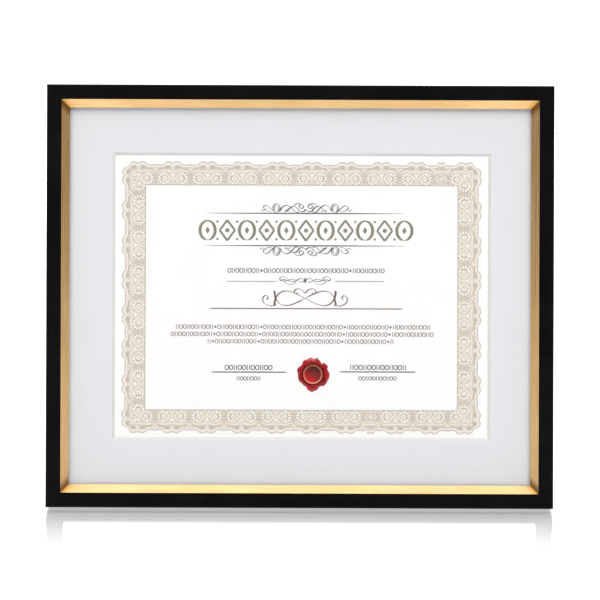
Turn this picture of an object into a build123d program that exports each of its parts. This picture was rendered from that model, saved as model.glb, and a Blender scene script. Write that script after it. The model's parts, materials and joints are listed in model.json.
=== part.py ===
from build123d import *

import os
from dataclasses import dataclass
from math import cos, pi, radians, sin

# A certificate frame, leaning back on its easel leg. Millimetres, +Z up, seen from -Y.
# The origin is on the table, in the middle of the space that the frame takes up.

# Rails and slips
frame_width = 360
frame_height = 300
face_width = 10.5
outer_edge_radius = 0.8
inner_edge_radius = 0.3
slip_step = 1.0
slip_run = 5.35
slip_drop = 5.35
slip_lip = 1.2

# Sheets in the rabbet, from the front to the back
sheet_clearance = 0.65
glass_thickness = 2
mat_thickness = 1.6
window_width = 266
window_height = 201
window_shift = 1.0
window_bevel_run = 1.8
certificate_width = 279.4
certificate_height = 215.9
certificate_thickness = 0.2
tape_width = 25
tape_reach = 12
tape_lap_share = 0.3803487
tape_spread = 150
tape_thickness = 0.1
filler_thickness = 5
backing_thickness = 3
backing_recess = 0.3

# Wax seal on the sheet
seal_radius = 11.7
seal_thickness = 0.7
seal_rim_radius = 7.2
seal_rim_width = 1.6
seal_rim_height = 0.4
seal_across = 9.1
seal_below_centre = 55.5
seal_lobe_shares = (
    (1.03, 0.94, 1.02, 0.90, 1.02, 1.03)
    + (1.0, 0.89, 1.0, 0.91, 0.93, 0.87)
    + (0.87, 1.04, 1.0, 0.85, 0.99, 1.0)
)

# V nails in the back of the mitres
nail_inset = 3.2
nail_arm = 5
nail_sheet = 0.6
nail_depth = 8

# Turn buttons and their screws
button_spread = 110
button_thickness = 1.2
button_gap = 0.2
button_head_radius = 4
button_tip_radius = 2.6
button_length = 13
button_edge_radius = 0.3
screw_radius = 1.5
screw_depth = 11
screw_head_radius = 3.1
screw_head_height = 1.7
screw_head_edge_radius = 0.9
screw_slot_width = 0.8
screw_slot_length = 3.6
screw_slot_depth = 0.8

# Easel leg and its stance
lean_angle = 14
leg_opening = 24
pin_below_top = 80
leg_thickness = 3
leg_top_width = 58
leg_foot_width = 98
leg_corner_radius = 2
leg_notch_clearance = 0.4
stop_gap = 0.3

# Strap hinge of the leg
hinge_width = 40
pin_radius = 1.0
pin_overhang = 0.7
pin_cap_radius = 1.6
leaf_thickness = 0.8
leaf_length = 26
leaf_corner_radius = 3
knuckle_count = 5
knuckle_side_gap = 0.3
knuckle_board_gap = 0.15
leaf_board_gap = 0.5
rivet_radius = 1.5
rivet_head_radius = 2.8
rivet_head_height = 0.9
rivet_head_edge_radius = 0.6
rivet_spread = 24
rivet_rows_apart = 11
rivet_first_row = 8.5

# Sawtooth hanger and its nails
hanger_length = 45
hanger_height = 8
hanger_sheet = 0.6
hanger_raise = 1.3
hanger_tab_length = 7.5
hanger_ramp = 1.8
tooth_count = 8
tooth_pitch = 3
tooth_depth = 1.6
hanger_nail_radius = 0.8
hanger_nail_depth = 9
hanger_nail_head_radius = 1.8
hanger_nail_head_height = 0.6
hanger_nail_edge_radius = 0.3

# Fits: a pin that turns in its bore, and a fastener fixed in its hole
running_clearance = 0.05
fixed_clearance = 0.02

# Sizes that follow from the ones above
sight_edge = face_width + slip_run
land_width = face_width - sheet_clearance
sheet_width = frame_width - 2 * face_width
sheet_height = frame_height - 2 * face_width
glass_depth = slip_step + slip_drop + slip_lip
mat_depth = glass_depth + glass_thickness
certificate_depth = mat_depth + mat_thickness
filler_depth = certificate_depth + certificate_thickness + tape_thickness
backing_depth = filler_depth + filler_thickness
board_back = backing_depth + backing_thickness
frame_depth = board_back + backing_recess
knuckle_radius = pin_radius + running_clearance + leaf_thickness
knuckle_reach = knuckle_radius + knuckle_side_gap
pin_over_board = knuckle_radius + knuckle_board_gap
leg_over_board = leaf_thickness + leaf_board_gap
leg_front = leg_over_board - pin_over_board
leg_back = leg_front + leg_thickness
leg_tilt = leg_opening - lean_angle
pin_height = frame_height - pin_below_top
stop_drop = pin_over_board - stop_gap + leg_front * cos(radians(leg_opening))
stop_reach = stop_drop / sin(radians(leg_opening))

# Directions of the leaning frame and of the open leg
across = Vector(1, 0, 0)
rise = Vector(0, sin(radians(lean_angle)), cos(radians(lean_angle)))
front = Vector(0, -cos(radians(lean_angle)), sin(radians(lean_angle)))
leg_fall = Vector(0, sin(radians(leg_tilt)), -cos(radians(leg_tilt)))
leg_rear = Vector(0, cos(radians(leg_tilt)), sin(radians(leg_tilt)))

# The frame rests on the lower back edge of its bottom rail, and on the leg's foot
pin_behind_rest = rise * pin_height - front * (pin_over_board - backing_recess)
rear_face_at_pin = pin_behind_rest + leg_rear * leg_back
leg_rear_length = rear_face_at_pin.Z / cos(radians(leg_tilt))
foot_rear = rear_face_at_pin + leg_fall * leg_rear_length
front_reach = frame_depth * cos(radians(lean_angle))
rest_line = Vector(0, (front_reach - foot_rear.Y) / 2, 0)
face_centre = rest_line + rise * (frame_height / 2) + front * frame_depth
pin_centre = rest_line + pin_behind_rest

face_plane = Plane(origin=face_centre, x_dir=across, z_dir=front)
leg_plane = Plane(origin=pin_centre, x_dir=across, z_dir=leg_rear)
pin_plane = Plane(origin=pin_centre, x_dir=rise, z_dir=across)
rearward = Axis(face_centre, -front)
leg_rearward = Axis(pin_centre, leg_rear)


def level(depth):
    """Plane parallel to the face, this deep behind it, looking to the front."""
    return face_plane.offset(-depth)


def rear_level(depth):
    """Plane parallel to the face, this deep behind it, looking to the rear."""
    return Plane(origin=face_centre - front * depth, x_dir=across, z_dir=-front)


def save(piece, label):
    """Name a finished piece and write its file."""
    piece.part.label = label
    export_step(piece.part, f"parts/{label}.step")


@dataclass
class Side:
    """One of the frame's four sides: the way in to the picture, and its sizes."""

    name: str
    inward: Vector
    reach: float
    half_run: float

    def section_plane(self):
        """Plane across the side's run: x goes in from the outer edge, y to the front."""
        outer_edge = face_centre - self.inward * self.reach
        return Plane(origin=outer_edge, x_dir=self.inward, z_dir=self.inward.cross(front))

    def mitre_planes(self):
        """The two mitre planes, each looking away from the side's middle."""
        along = self.inward.cross(front)
        planes = []
        for way in (along, -along):
            corner = face_centre - self.inward * self.reach + way * self.half_run
            planes.append(Plane(origin=corner, x_dir=front, z_dir=self.inward + way))
        return planes


sides = (
    Side("top", -rise, frame_height / 2, frame_width / 2),
    Side("bottom", rise, frame_height / 2, frame_width / 2),
    Side("left", across, frame_width / 2, frame_height / 2),
    Side("right", -across, frame_width / 2, frame_height / 2),
)

# Where the buttons turn, seen from the front, and the way each one points when closed
button_line_x = frame_width / 2 - land_width / 2
button_line_y = frame_height / 2 - land_width / 2
buttons = {
    "top_left_button": (-button_spread, button_line_y, -rise),
    "top_right_button": (button_spread, button_line_y, -rise),
    "bottom_left_button": (-button_spread, -button_line_y, rise),
    "bottom_right_button": (button_spread, -button_line_y, rise),
    "left_button": (-button_line_x, 0, across),
    "right_button": (button_line_x, 0, -across),
}
screw_places = [(place[0], place[1]) for place in buttons.values()]
hanger_nail_x = hanger_length / 2 - hanger_tab_length / 2
hanger_nail_places = [(-hanger_nail_x, button_line_y), (hanger_nail_x, button_line_y)]


def nail_outline(corner_x, corner_y):
    """Points of an angled nail at one corner, its arms running into both rails."""
    way_x = -1 if corner_x > 0 else 1
    way_y = -1 if corner_y > 0 else 1
    steps = (
        (nail_inset, nail_inset),
        (nail_inset + nail_arm, nail_inset),
        (nail_inset + nail_arm, nail_inset + nail_sheet),
        (nail_inset + nail_sheet, nail_inset + nail_sheet),
        (nail_inset + nail_sheet, nail_inset + nail_arm),
        (nail_inset, nail_inset + nail_arm),
    )
    return [(corner_x + way_x * step_x, corner_y + way_y * step_y) for step_x, step_y in steps]


def nail_outlines():
    """The four nails' outlines in the plane of the back."""
    outlines = []
    for corner_x in (-frame_width / 2, frame_width / 2):
        for corner_y in (-frame_height / 2, frame_height / 2):
            outlines.append(nail_outline(corner_x, corner_y))
    return outlines


rail_section = (
    (0, 0),
    (face_width, 0),
    (face_width, -glass_depth),
    (land_width, -glass_depth),
    (land_width, -frame_depth),
    (0, -frame_depth),
)
slip_section = (
    (face_width, -slip_step),
    (sight_edge, -slip_step - slip_drop),
    (sight_edge, -glass_depth),
    (face_width, -glass_depth),
)


def make_rail(side):
    """A black rail, with the slots of its nails and the holes of its screws."""
    with BuildPart() as rail:
        with BuildSketch(side.section_plane()) as section:
            with BuildLine():
                Polyline(*rail_section, close=True)
            make_face()
            fillet(section.vertices().sort_by_distance((0, 0))[0], radius=outer_edge_radius)
            fillet(section.vertices().sort_by_distance((face_width, 0))[0], radius=inner_edge_radius)
        extrude(amount=side.half_run, both=True)
        for mitre in side.mitre_planes():
            split(bisect_by=mitre, keep=Keep.BOTTOM)
        with BuildSketch(level(frame_depth)):
            for outline in nail_outlines():
                with BuildLine():
                    Polyline(*outline, close=True)
                make_face()
        extrude(amount=nail_depth, mode=Mode.SUBTRACT)
        with BuildSketch(level(frame_depth)):
            with Locations(*screw_places):
                Circle(screw_radius + fixed_clearance)
        extrude(amount=screw_depth, mode=Mode.SUBTRACT)
        with BuildSketch(level(frame_depth)):
            with Locations(*hanger_nail_places):
                Circle(hanger_nail_radius + fixed_clearance)
        extrude(amount=hanger_nail_depth, mode=Mode.SUBTRACT)
    return rail


def make_slip(side):
    """A gold slip: a slope down to the picture, ending in a small upright lip."""
    with BuildPart() as slip:
        with BuildSketch(side.section_plane()):
            with BuildLine():
                Polyline(*slip_section, close=True)
            make_face()
        extrude(amount=side.half_run, both=True)
        for mitre in side.mitre_planes():
            split(bisect_by=mitre, keep=Keep.BOTTOM)
    return slip


def make_button(pivot_x, pivot_y, inward):
    """A turn button: a strap that tapers from its screw to its tip."""
    pivot = face_plane.from_local_coords((pivot_x, pivot_y, -frame_depth))
    seat = Plane(origin=pivot, x_dir=inward, z_dir=-front).offset(button_gap)
    with BuildPart() as button:
        with BuildSketch(seat):
            Circle(button_head_radius)
            with Locations((button_length, 0)):
                Circle(button_tip_radius)
            make_hull()
            Circle(screw_radius + running_clearance, mode=Mode.SUBTRACT)
        extrude(amount=button_thickness)
        fillet(button.faces().sort_by(rearward)[-1].outer_wire().edges(), radius=button_edge_radius)
    return button


os.makedirs("parts", exist_ok=True)

for side in sides:
    rail = make_rail(side)
    save(rail, f"{side.name}_rail")
    slip = make_slip(side)
    save(slip, f"{side.name}_slip")

for name, place in buttons.items():
    button = make_button(*place)
    save(button, name)

with BuildPart() as v_nails:
    with BuildSketch(level(frame_depth)):
        for outline in nail_outlines():
            with BuildLine():
                Polyline(*outline, close=True)
            make_face()
    extrude(amount=nail_depth)
save(v_nails, "v_nails")

with BuildPart() as glazing:
    with BuildSketch(level(mat_depth)):
        Rectangle(sheet_width, sheet_height)
    extrude(amount=glass_thickness)
save(glazing, "glazing")

with BuildPart() as mat_board:
    with BuildSketch(level(certificate_depth)):
        Rectangle(sheet_width, sheet_height)
    extrude(amount=mat_thickness)
    with BuildSketch(level(mat_depth)):
        with Locations((window_shift, 0)):
            Rectangle(window_width + 2 * window_bevel_run, window_height + 2 * window_bevel_run)
    with BuildSketch(level(certificate_depth)):
        with Locations((window_shift, 0)):
            Rectangle(window_width, window_height)
    loft(mode=Mode.SUBTRACT)
save(mat_board, "mat_board")

with BuildPart() as certificate:
    with BuildSketch(level(certificate_depth + certificate_thickness)):
        with Locations((window_shift, 0)):
            Rectangle(certificate_width, certificate_height)
    extrude(amount=certificate_thickness)
save(certificate, "certificate")

seal_outline = []
for lobe, share in enumerate(seal_lobe_shares):
    lobe_angle = 2 * pi * lobe / len(seal_lobe_shares)
    seal_outline.append((seal_radius * share * cos(lobe_angle), seal_radius * share * sin(lobe_angle)))

seal_centre = face_plane.from_local_coords((seal_across, -seal_below_centre, -certificate_depth))
seal_plane = Plane(origin=seal_centre, x_dir=across, z_dir=front)
with BuildPart() as wax_seal:
    with BuildSketch(seal_plane):
        with BuildLine():
            Spline(*seal_outline, periodic=True)
        make_face()
    extrude(amount=seal_thickness)
    with BuildSketch(seal_plane.offset(seal_thickness)):
        Circle(seal_rim_radius)
        Circle(seal_rim_radius - seal_rim_width, mode=Mode.SUBTRACT)
    extrude(amount=seal_rim_height)
save(wax_seal, "wax_seal")

# Each tape is stuck to the back of the sheet and steps up onto the back of the mat,
# over a share of the mat's border above the sheet
tape_step = certificate_height / 2 + tape_thickness
tape_end = certificate_height / 2 + tape_lap_share * (sheet_height - certificate_height) / 2
tape_section = (
    (certificate_height / 2 - tape_reach, -certificate_thickness),
    (certificate_height / 2, -certificate_thickness),
    (certificate_height / 2, 0),
    (tape_end, 0),
    (tape_end, -tape_thickness),
    (tape_step, -tape_thickness),
    (tape_step, -certificate_thickness - tape_thickness),
    (certificate_height / 2 - tape_reach, -certificate_thickness - tape_thickness),
)
with BuildPart() as hinge_tapes:
    for tape_x in (-tape_spread / 2, tape_spread / 2):
        tape_middle = face_plane.from_local_coords((window_shift + tape_x, 0, -certificate_depth))
        with BuildSketch(Plane(origin=tape_middle, x_dir=rise, z_dir=across)):
            with BuildLine():
                Polyline(*tape_section, close=True)
            make_face()
        extrude(amount=tape_width / 2, both=True)
save(hinge_tapes, "hinge_tapes")

with BuildPart() as filler_board:
    with BuildSketch(level(backing_depth)):
        Rectangle(sheet_width, sheet_height)
    extrude(amount=filler_thickness)
save(filler_board, "filler_board")

rivet_middle = rivet_first_row + rivet_rows_apart / 2
base_rivet_middle = pin_height - frame_height / 2 + rivet_middle
with BuildPart() as backing_board:
    with BuildSketch(level(board_back)):
        Rectangle(sheet_width, sheet_height)
        with Locations((0, base_rivet_middle)):
            with GridLocations(rivet_spread, rivet_rows_apart, 2, 2):
                Circle(rivet_radius + fixed_clearance, mode=Mode.SUBTRACT)
    extrude(amount=backing_thickness)
save(backing_board, "backing_board")

with BuildPart() as button_screws:
    with BuildSketch(rear_level(frame_depth - screw_depth)):
        with Locations(*[(x, -y) for x, y in screw_places]):
            Circle(screw_radius)
    extrude(amount=screw_depth + 2 * button_gap + button_thickness)
    with BuildSketch(rear_level(frame_depth + 2 * button_gap + button_thickness)):
        with Locations(*[(x, -y) for x, y in screw_places]):
            Circle(screw_head_radius)
    extrude(amount=screw_head_height)
    fillet(button_screws.faces().group_by(rearward)[-1].edges(), radius=screw_head_edge_radius)
    head_top = frame_depth + 2 * button_gap + button_thickness + screw_head_height
    with BuildSketch(rear_level(head_top)):
        with Locations(*[(x, -y) for x, y in screw_places]):
            Rectangle(screw_slot_length, screw_slot_width)
            Rectangle(screw_slot_width, screw_slot_length)
    extrude(amount=-screw_slot_depth, mode=Mode.SUBTRACT)
save(button_screws, "button_screws")

# The strap hinge: knuckles along the pin, by turns the backing's leaf's and the leg leaf's
knuckle_pitch = hinge_width / knuckle_count
knuckle_width = knuckle_pitch - knuckle_side_gap


def knuckle_middles(first):
    """Places along the pin of every second knuckle, from this one on."""
    return [knuckle_pitch * (index + 0.5) - hinge_width / 2 for index in range(first, knuckle_count, 2)]


def make_leaf(first_knuckle, bore_clearance, plane, leaf_bottom):
    """A leaf with its knuckles. The plane looks along the pin, its x goes away along the leaf."""
    leaf_middle = leaf_bottom + leaf_thickness / 2
    with BuildPart() as leaf:
        with BuildSketch(plane):
            with Locations(((knuckle_reach + leaf_length) / 2, leaf_middle)):
                Rectangle(leaf_length - knuckle_reach, leaf_thickness)
        extrude(amount=hinge_width / 2, both=True)
        upright_edges = leaf.edges().filter_by(Axis(plane.origin, plane.y_dir))
        far_corners = upright_edges.group_by(Axis(plane.origin, plane.x_dir))[-1]
        fillet(far_corners, radius=leaf_corner_radius)
        for middle in knuckle_middles(first_knuckle):
            with BuildSketch(plane.offset(middle)):
                Circle(knuckle_radius)
                with Locations((knuckle_reach / 2, leaf_middle)):
                    Rectangle(knuckle_reach, leaf_thickness)
            extrude(amount=knuckle_width / 2, both=True)
        with BuildSketch(plane):
            Circle(pin_radius + bore_clearance)
        extrude(amount=hinge_width / 2, both=True, mode=Mode.SUBTRACT)
        rivet_level = Plane(origin=plane.origin, x_dir=plane.x_dir, z_dir=plane.y_dir)
        with BuildSketch(rivet_level):
            with Locations((rivet_middle, 0)):
                with GridLocations(rivet_rows_apart, rivet_spread, 2, 2):
                    Circle(rivet_radius + fixed_clearance)
        extrude(amount=knuckle_radius + leaf_thickness, both=True, mode=Mode.SUBTRACT)
    return leaf


base_leaf_plane = Plane(origin=pin_centre, x_dir=rise, z_dir=-across)
leg_leaf_plane = Plane(origin=pin_centre, x_dir=leg_fall, z_dir=across)
hinge_base_leaf = make_leaf(0, fixed_clearance, base_leaf_plane, -pin_over_board)
save(hinge_base_leaf, "hinge_base_leaf")
hinge_leg_leaf = make_leaf(1, running_clearance, leg_leaf_plane, leg_front - leaf_thickness)
save(hinge_leg_leaf, "hinge_leg_leaf")

with BuildPart() as hinge_pin:
    with BuildSketch(pin_plane):
        Circle(pin_radius)
    extrude(amount=hinge_width / 2, both=True)
    for end in (pin_plane.offset(hinge_width / 2), pin_plane.offset(-hinge_width / 2 - pin_overhang)):
        with BuildSketch(end):
            Circle(pin_cap_radius)
        extrude(amount=pin_overhang)
save(hinge_pin, "hinge_pin")

with BuildPart() as base_rivets:
    with BuildSketch(rear_level(backing_depth)):
        with Locations((0, -base_rivet_middle)):
            with GridLocations(rivet_spread, rivet_rows_apart, 2, 2):
                Circle(rivet_radius)
    extrude(amount=backing_thickness + leaf_thickness)
    with BuildSketch(rear_level(board_back + leaf_thickness)):
        with Locations((0, -base_rivet_middle)):
            with GridLocations(rivet_spread, rivet_rows_apart, 2, 2):
                Circle(rivet_head_radius)
    extrude(amount=rivet_head_height)
    fillet(base_rivets.faces().group_by(rearward)[-1].edges(), radius=rivet_head_edge_radius)
save(base_rivets, "base_rivets")

# The leg's top edge is notched round the knuckles, and its shoulders meet the backing as a stop
notch_half_width = hinge_width / 2 + pin_overhang + leg_notch_clearance
leg_outline = (
    (-leg_top_width / 2, -stop_reach),
    (leg_top_width / 2, -stop_reach),
    (leg_foot_width / 2, leg_rear_length),
    (leg_foot_width / 2, leg_rear_length + leg_thickness),
    (-leg_foot_width / 2, leg_rear_length + leg_thickness),
    (-leg_foot_width / 2, leg_rear_length),
)
with BuildPart() as easel_leg:
    with BuildSketch(leg_plane.offset(leg_front)) as outline_sketch:
        with BuildLine():
            Polyline(*leg_outline, close=True)
        make_face()
        fillet(outline_sketch.vertices().group_by(Axis.Y)[0], radius=leg_corner_radius)
        with Locations((0, knuckle_reach + leg_notch_clearance - leg_thickness)):
            Rectangle(2 * notch_half_width, 2 * leg_thickness, mode=Mode.SUBTRACT)
        with Locations((0, rivet_middle)):
            with GridLocations(rivet_spread, rivet_rows_apart, 2, 2):
                Circle(rivet_radius + fixed_clearance, mode=Mode.SUBTRACT)
    extrude(amount=leg_thickness)
    split(bisect_by=Plane.XY, keep=Keep.TOP)
save(easel_leg, "easel_leg")

with BuildPart() as leg_rivets:
    with BuildSketch(leg_plane.offset(leg_front - leaf_thickness)):
        with Locations((0, rivet_middle)):
            with GridLocations(rivet_spread, rivet_rows_apart, 2, 2):
                Circle(rivet_radius)
    extrude(amount=leaf_thickness + leg_thickness)
    with BuildSketch(leg_plane.offset(leg_back)):
        with Locations((0, rivet_middle)):
            with GridLocations(rivet_spread, rivet_rows_apart, 2, 2):
                Circle(rivet_head_radius)
    extrude(amount=rivet_head_height)
    fillet(leg_rivets.faces().group_by(leg_rearward)[-1].edges(), radius=rivet_head_edge_radius)
save(leg_rivets, "leg_rivets")

# The hanger is a strip nailed at both ends, raised between them, with teeth along its lower edge
hanger_half = hanger_length / 2
ramp_foot = hanger_half - hanger_tab_length
ramp_head = ramp_foot - hanger_ramp
hanger_section = (
    (-hanger_half, 0),
    (-ramp_foot, 0),
    (-ramp_head, hanger_raise),
    (ramp_head, hanger_raise),
    (ramp_foot, 0),
    (hanger_half, 0),
    (hanger_half, hanger_sheet),
    (ramp_foot, hanger_sheet),
    (ramp_head, hanger_raise + hanger_sheet),
    (-ramp_head, hanger_raise + hanger_sheet),
    (-ramp_foot, hanger_sheet),
    (-hanger_half, hanger_sheet),
)
hanger_middle = face_plane.from_local_coords((0, button_line_y, -frame_depth))
hanger_low = button_line_y - hanger_height / 2
with BuildPart() as sawtooth_hanger:
    with BuildSketch(Plane(origin=hanger_middle, x_dir=across, z_dir=rise)):
        with BuildLine():
            Polyline(*hanger_section, close=True)
        make_face()
    extrude(amount=hanger_height / 2, both=True)
    with BuildSketch(level(frame_depth)):
        for tooth in range(tooth_count):
            notch_x = tooth_pitch * (tooth + 0.5 - tooth_count / 2)
            with BuildLine():
                Polyline(
                    (notch_x - tooth_pitch / 2, hanger_low),
                    (notch_x + tooth_pitch / 2, hanger_low),
                    (notch_x, hanger_low + tooth_depth),
                    close=True,
                )
            make_face()
        with Locations(*hanger_nail_places):
            Circle(hanger_nail_radius + fixed_clearance)
    extrude(amount=-hanger_raise - 2 * hanger_sheet, mode=Mode.SUBTRACT)
save(sawtooth_hanger, "sawtooth_hanger")

with BuildPart() as hanger_nails:
    with BuildSketch(rear_level(frame_depth - hanger_nail_depth)):
        with Locations(*[(x, -y) for x, y in hanger_nail_places]):
            Circle(hanger_nail_radius)
    extrude(amount=hanger_nail_depth + hanger_sheet)
    with BuildSketch(rear_level(frame_depth + hanger_sheet)):
        with Locations(*[(x, -y) for x, y in hanger_nail_places]):
            Circle(hanger_nail_head_radius)
    extrude(amount=hanger_nail_head_height)
    fillet(hanger_nails.faces().group_by(rearward)[-1].edges(), radius=hanger_nail_edge_radius)
save(hanger_nails, "hanger_nails")
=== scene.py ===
"""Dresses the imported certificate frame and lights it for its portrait.

The frame leans back on its easel leg and holds a printed certificate with a
wax seal behind glass. Each sub-assembly is a class: its sizes are fields, and
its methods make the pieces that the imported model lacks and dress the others.
Sizes on the sheet are in millimetres, measured from the middle of the sheet.
"""

from __future__ import annotations

import json
import logging
import math
from dataclasses import dataclass, field
from enum import Enum
from typing import Any, Callable, Iterable, Protocol, Sequence, Union

import bpy
from mathutils import Matrix, Vector

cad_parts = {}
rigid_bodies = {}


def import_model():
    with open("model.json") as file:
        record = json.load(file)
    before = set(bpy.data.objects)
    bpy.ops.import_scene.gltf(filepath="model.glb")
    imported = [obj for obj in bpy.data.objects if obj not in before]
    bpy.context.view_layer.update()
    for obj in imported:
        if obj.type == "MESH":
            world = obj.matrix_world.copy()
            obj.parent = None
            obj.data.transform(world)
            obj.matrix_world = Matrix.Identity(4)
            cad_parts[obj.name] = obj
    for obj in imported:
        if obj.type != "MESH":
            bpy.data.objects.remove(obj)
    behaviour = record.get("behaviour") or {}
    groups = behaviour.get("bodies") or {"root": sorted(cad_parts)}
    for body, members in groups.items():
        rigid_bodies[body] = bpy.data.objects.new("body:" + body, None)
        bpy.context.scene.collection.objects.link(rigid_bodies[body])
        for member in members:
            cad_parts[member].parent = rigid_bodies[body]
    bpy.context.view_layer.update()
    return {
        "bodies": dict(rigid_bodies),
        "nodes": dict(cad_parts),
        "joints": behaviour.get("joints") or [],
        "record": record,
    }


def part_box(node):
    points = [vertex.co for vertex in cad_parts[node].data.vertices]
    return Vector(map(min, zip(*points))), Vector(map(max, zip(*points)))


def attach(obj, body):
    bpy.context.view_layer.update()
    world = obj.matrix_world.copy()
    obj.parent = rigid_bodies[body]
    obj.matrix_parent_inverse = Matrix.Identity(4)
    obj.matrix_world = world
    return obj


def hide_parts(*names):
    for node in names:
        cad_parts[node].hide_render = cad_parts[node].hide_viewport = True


LOG = logging.getLogger("certificate_frame")
MILLIMETRE = 0.001

Colour = tuple[float, float, float, float]
Point = tuple[float, float]
Path = list[Point]
Span = tuple[float, float]
Triple = tuple[float, float, float]
Pattern = tuple[float, ...]
# An oval's middle and its half sizes.
Patch = tuple[Point, Point]
# A line's middle and its length.
Rule = tuple[Point, float]
Socket = bpy.types.NodeSocket
Feed = Union[Socket, float, Sequence[float]]
Feeds = dict[Union[str, int], Feed]
# Gives a depth in the lace at a share of a lobe's half width.
DepthRule = Callable[[float], float]

# Soft noise seldom goes past these strengths.
NOISE_SPAN: Span = (0.3, 0.7)
WHITE: Colour = (1.0, 1.0, 1.0, 1.0)


def tint(red: int, green: int, blue: int) -> Colour:
    """Turns a colour as it is seen on a screen into the linear one that light works with.

    Args:
        red: Red, from 0 to 255.
        green: Green, from 0 to 255.
        blue: Blue, from 0 to 255.

    Returns:
        The linear colour, opaque.
    """
    parts = [channel / 255 for channel in (red, green, blue)]
    linear = [part / 12.92 if part <= 0.04045 else ((part + 0.055) / 1.055) ** 2.4 for part in parts]
    return linear[0], linear[1], linear[2], 1.0


def shaded(colour: Colour, share: float) -> Colour:
    """Makes a colour darker or lighter.

    Args:
        colour: The colour to change.
        share: The share of its light that is kept.

    Returns:
        The changed colour.
    """
    return colour[0] * share, colour[1] * share, colour[2] * share, colour[3]


def follow(table: Sequence[Point], position: float) -> float:
    """Reads a smooth profile that passes through a few points.

    Args:
        table: Pairs of position and value, in rising order of position.
        position: Where to read it.

    Returns:
        The value there, eased between the points on either side.
    """
    if position <= table[0][0]:
        return table[0][1]
    for (start, low), (end, high) in zip(table, table[1:]):
        if position <= end:
            share = (1 - math.cos(math.pi * (position - start) / (end - start))) / 2
            return low + (high - low) * share
    return table[-1][1]


def smooth_line(points: Sequence[Point], steps: int = 14) -> Path:
    """Draws a smooth line through a few points.

    Args:
        points: The points, in order.
        steps: How many parts each stretch is made of.

    Returns:
        The points of the line.
    """
    padded = [points[0], *points, points[-1]]
    line: Path = []
    for before, start, end, after in zip(padded, padded[1:], padded[2:], padded[3:]):
        for step in range(steps):
            t = step / steps
            weights = (
                (-t + 2 * t**2 - t**3) / 2,
                (2 - 5 * t**2 + 3 * t**3) / 2,
                (t + 4 * t**2 - 3 * t**3) / 2,
                (t**3 - t**2) / 2,
            )
            corners = (before, start, end, after)
            line.append((
                sum(weight * corner[0] for weight, corner in zip(weights, corners)),
                sum(weight * corner[1] for weight, corner in zip(weights, corners)),
            ))
    line.append(points[-1])
    return line


def oval(
    centre: Point, across: float, up: float, start: float = 0.0, end: float = 360.0, steps: int = 48
) -> Path:
    """Draws an oval, or a part of one.

    Args:
        centre: Its middle.
        across: Its half width.
        up: Its half height.
        start: The angle that it starts at, in degrees.
        end: The angle that it ends at, in degrees.
        steps: How many parts it is made of.

    Returns:
        The points of the oval.
    """
    angles = [math.radians(start + (end - start) * step / steps) for step in range(steps + 1)]
    return [(centre[0] + across * math.cos(angle), centre[1] + up * math.sin(angle)) for angle in angles]


def turned(place: Point, way: float, out: float, aside: float = 0.0) -> Point:
    """Finds the point that lies out and aside from a place, seen in the direction way, in degrees."""
    cosine, sine = math.cos(math.radians(way)), math.sin(math.radians(way))
    return place[0] + out * cosine - aside * sine, place[1] + out * sine + aside * cosine


def mirrored(line: Sequence[Point], middle: float = 0.0) -> Path:
    """Mirrors a line from left to right, about an upright through middle."""
    return [(2 * middle - x, y) for x, y in line]


def moved(line: Sequence[Point], centre: Point, flip: float = 1.0) -> Path:
    """Moves a line so that its origin stands at centre, upside down where flip is -1."""
    return [(centre[0] + x, centre[1] + flip * y) for x, y in line]


@dataclass(frozen=True)
class FacePlane:
    """A plane parallel to the frame's face.

    Attributes:
        centre: The middle of the plane, in metres.
        across: The direction to the right.
        rise: The direction up the face.
        front: The direction out of the face.
    """

    centre: Vector
    across: Vector
    rise: Vector
    front: Vector

    @classmethod
    def over(cls, node: bpy.types.Object, front: Vector) -> "FacePlane":
        """Lays the plane on the front of a node.

        Args:
            node: The node whose front surface carries the plane.
            front: The direction out of the face.

        Returns:
            The plane, centred on the node.
        """
        across = Vector((1.0, 0.0, 0.0))
        plane = cls(Vector(), across, front.cross(across), front)
        spans = plane.spans(node)
        centre = plane.at((spans[0][0] + spans[0][1]) / 2, (spans[1][0] + spans[1][1]) / 2, spans[2][1])
        return cls(centre, plane.across, plane.rise, front)

    def spans(self, node: bpy.types.Object) -> list[tuple[float, float]]:
        """Measures a node in the directions of the plane.

        Args:
            node: The node.

        Returns:
            Its lowest and highest place across, up and in front of the plane's centre, in millimetres.
        """
        places = [(vertex.co - self.centre) / MILLIMETRE for vertex in node.data.vertices]
        found: list[tuple[float, float]] = []
        for direction in (self.across, self.rise, self.front):
            reach = [place.dot(direction) for place in places]
            found.append((min(reach), max(reach)))
        return found

    @property
    def lean(self) -> float:
        """The angle by which the face leans back, in radians."""
        return math.atan2(self.front.z, -self.front.y)

    def at(self, x: float, y: float, height: float = 0.0) -> Vector:
        """Finds a point over the plane.

        Args:
            x: Millimetres to the right of the middle.
            y: Millimetres up from the middle.
            height: Millimetres in front of the plane.

        Returns:
            The point, in metres.
        """
        return self.centre + (self.across * x + self.rise * y + self.front * height) * MILLIMETRE


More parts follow.
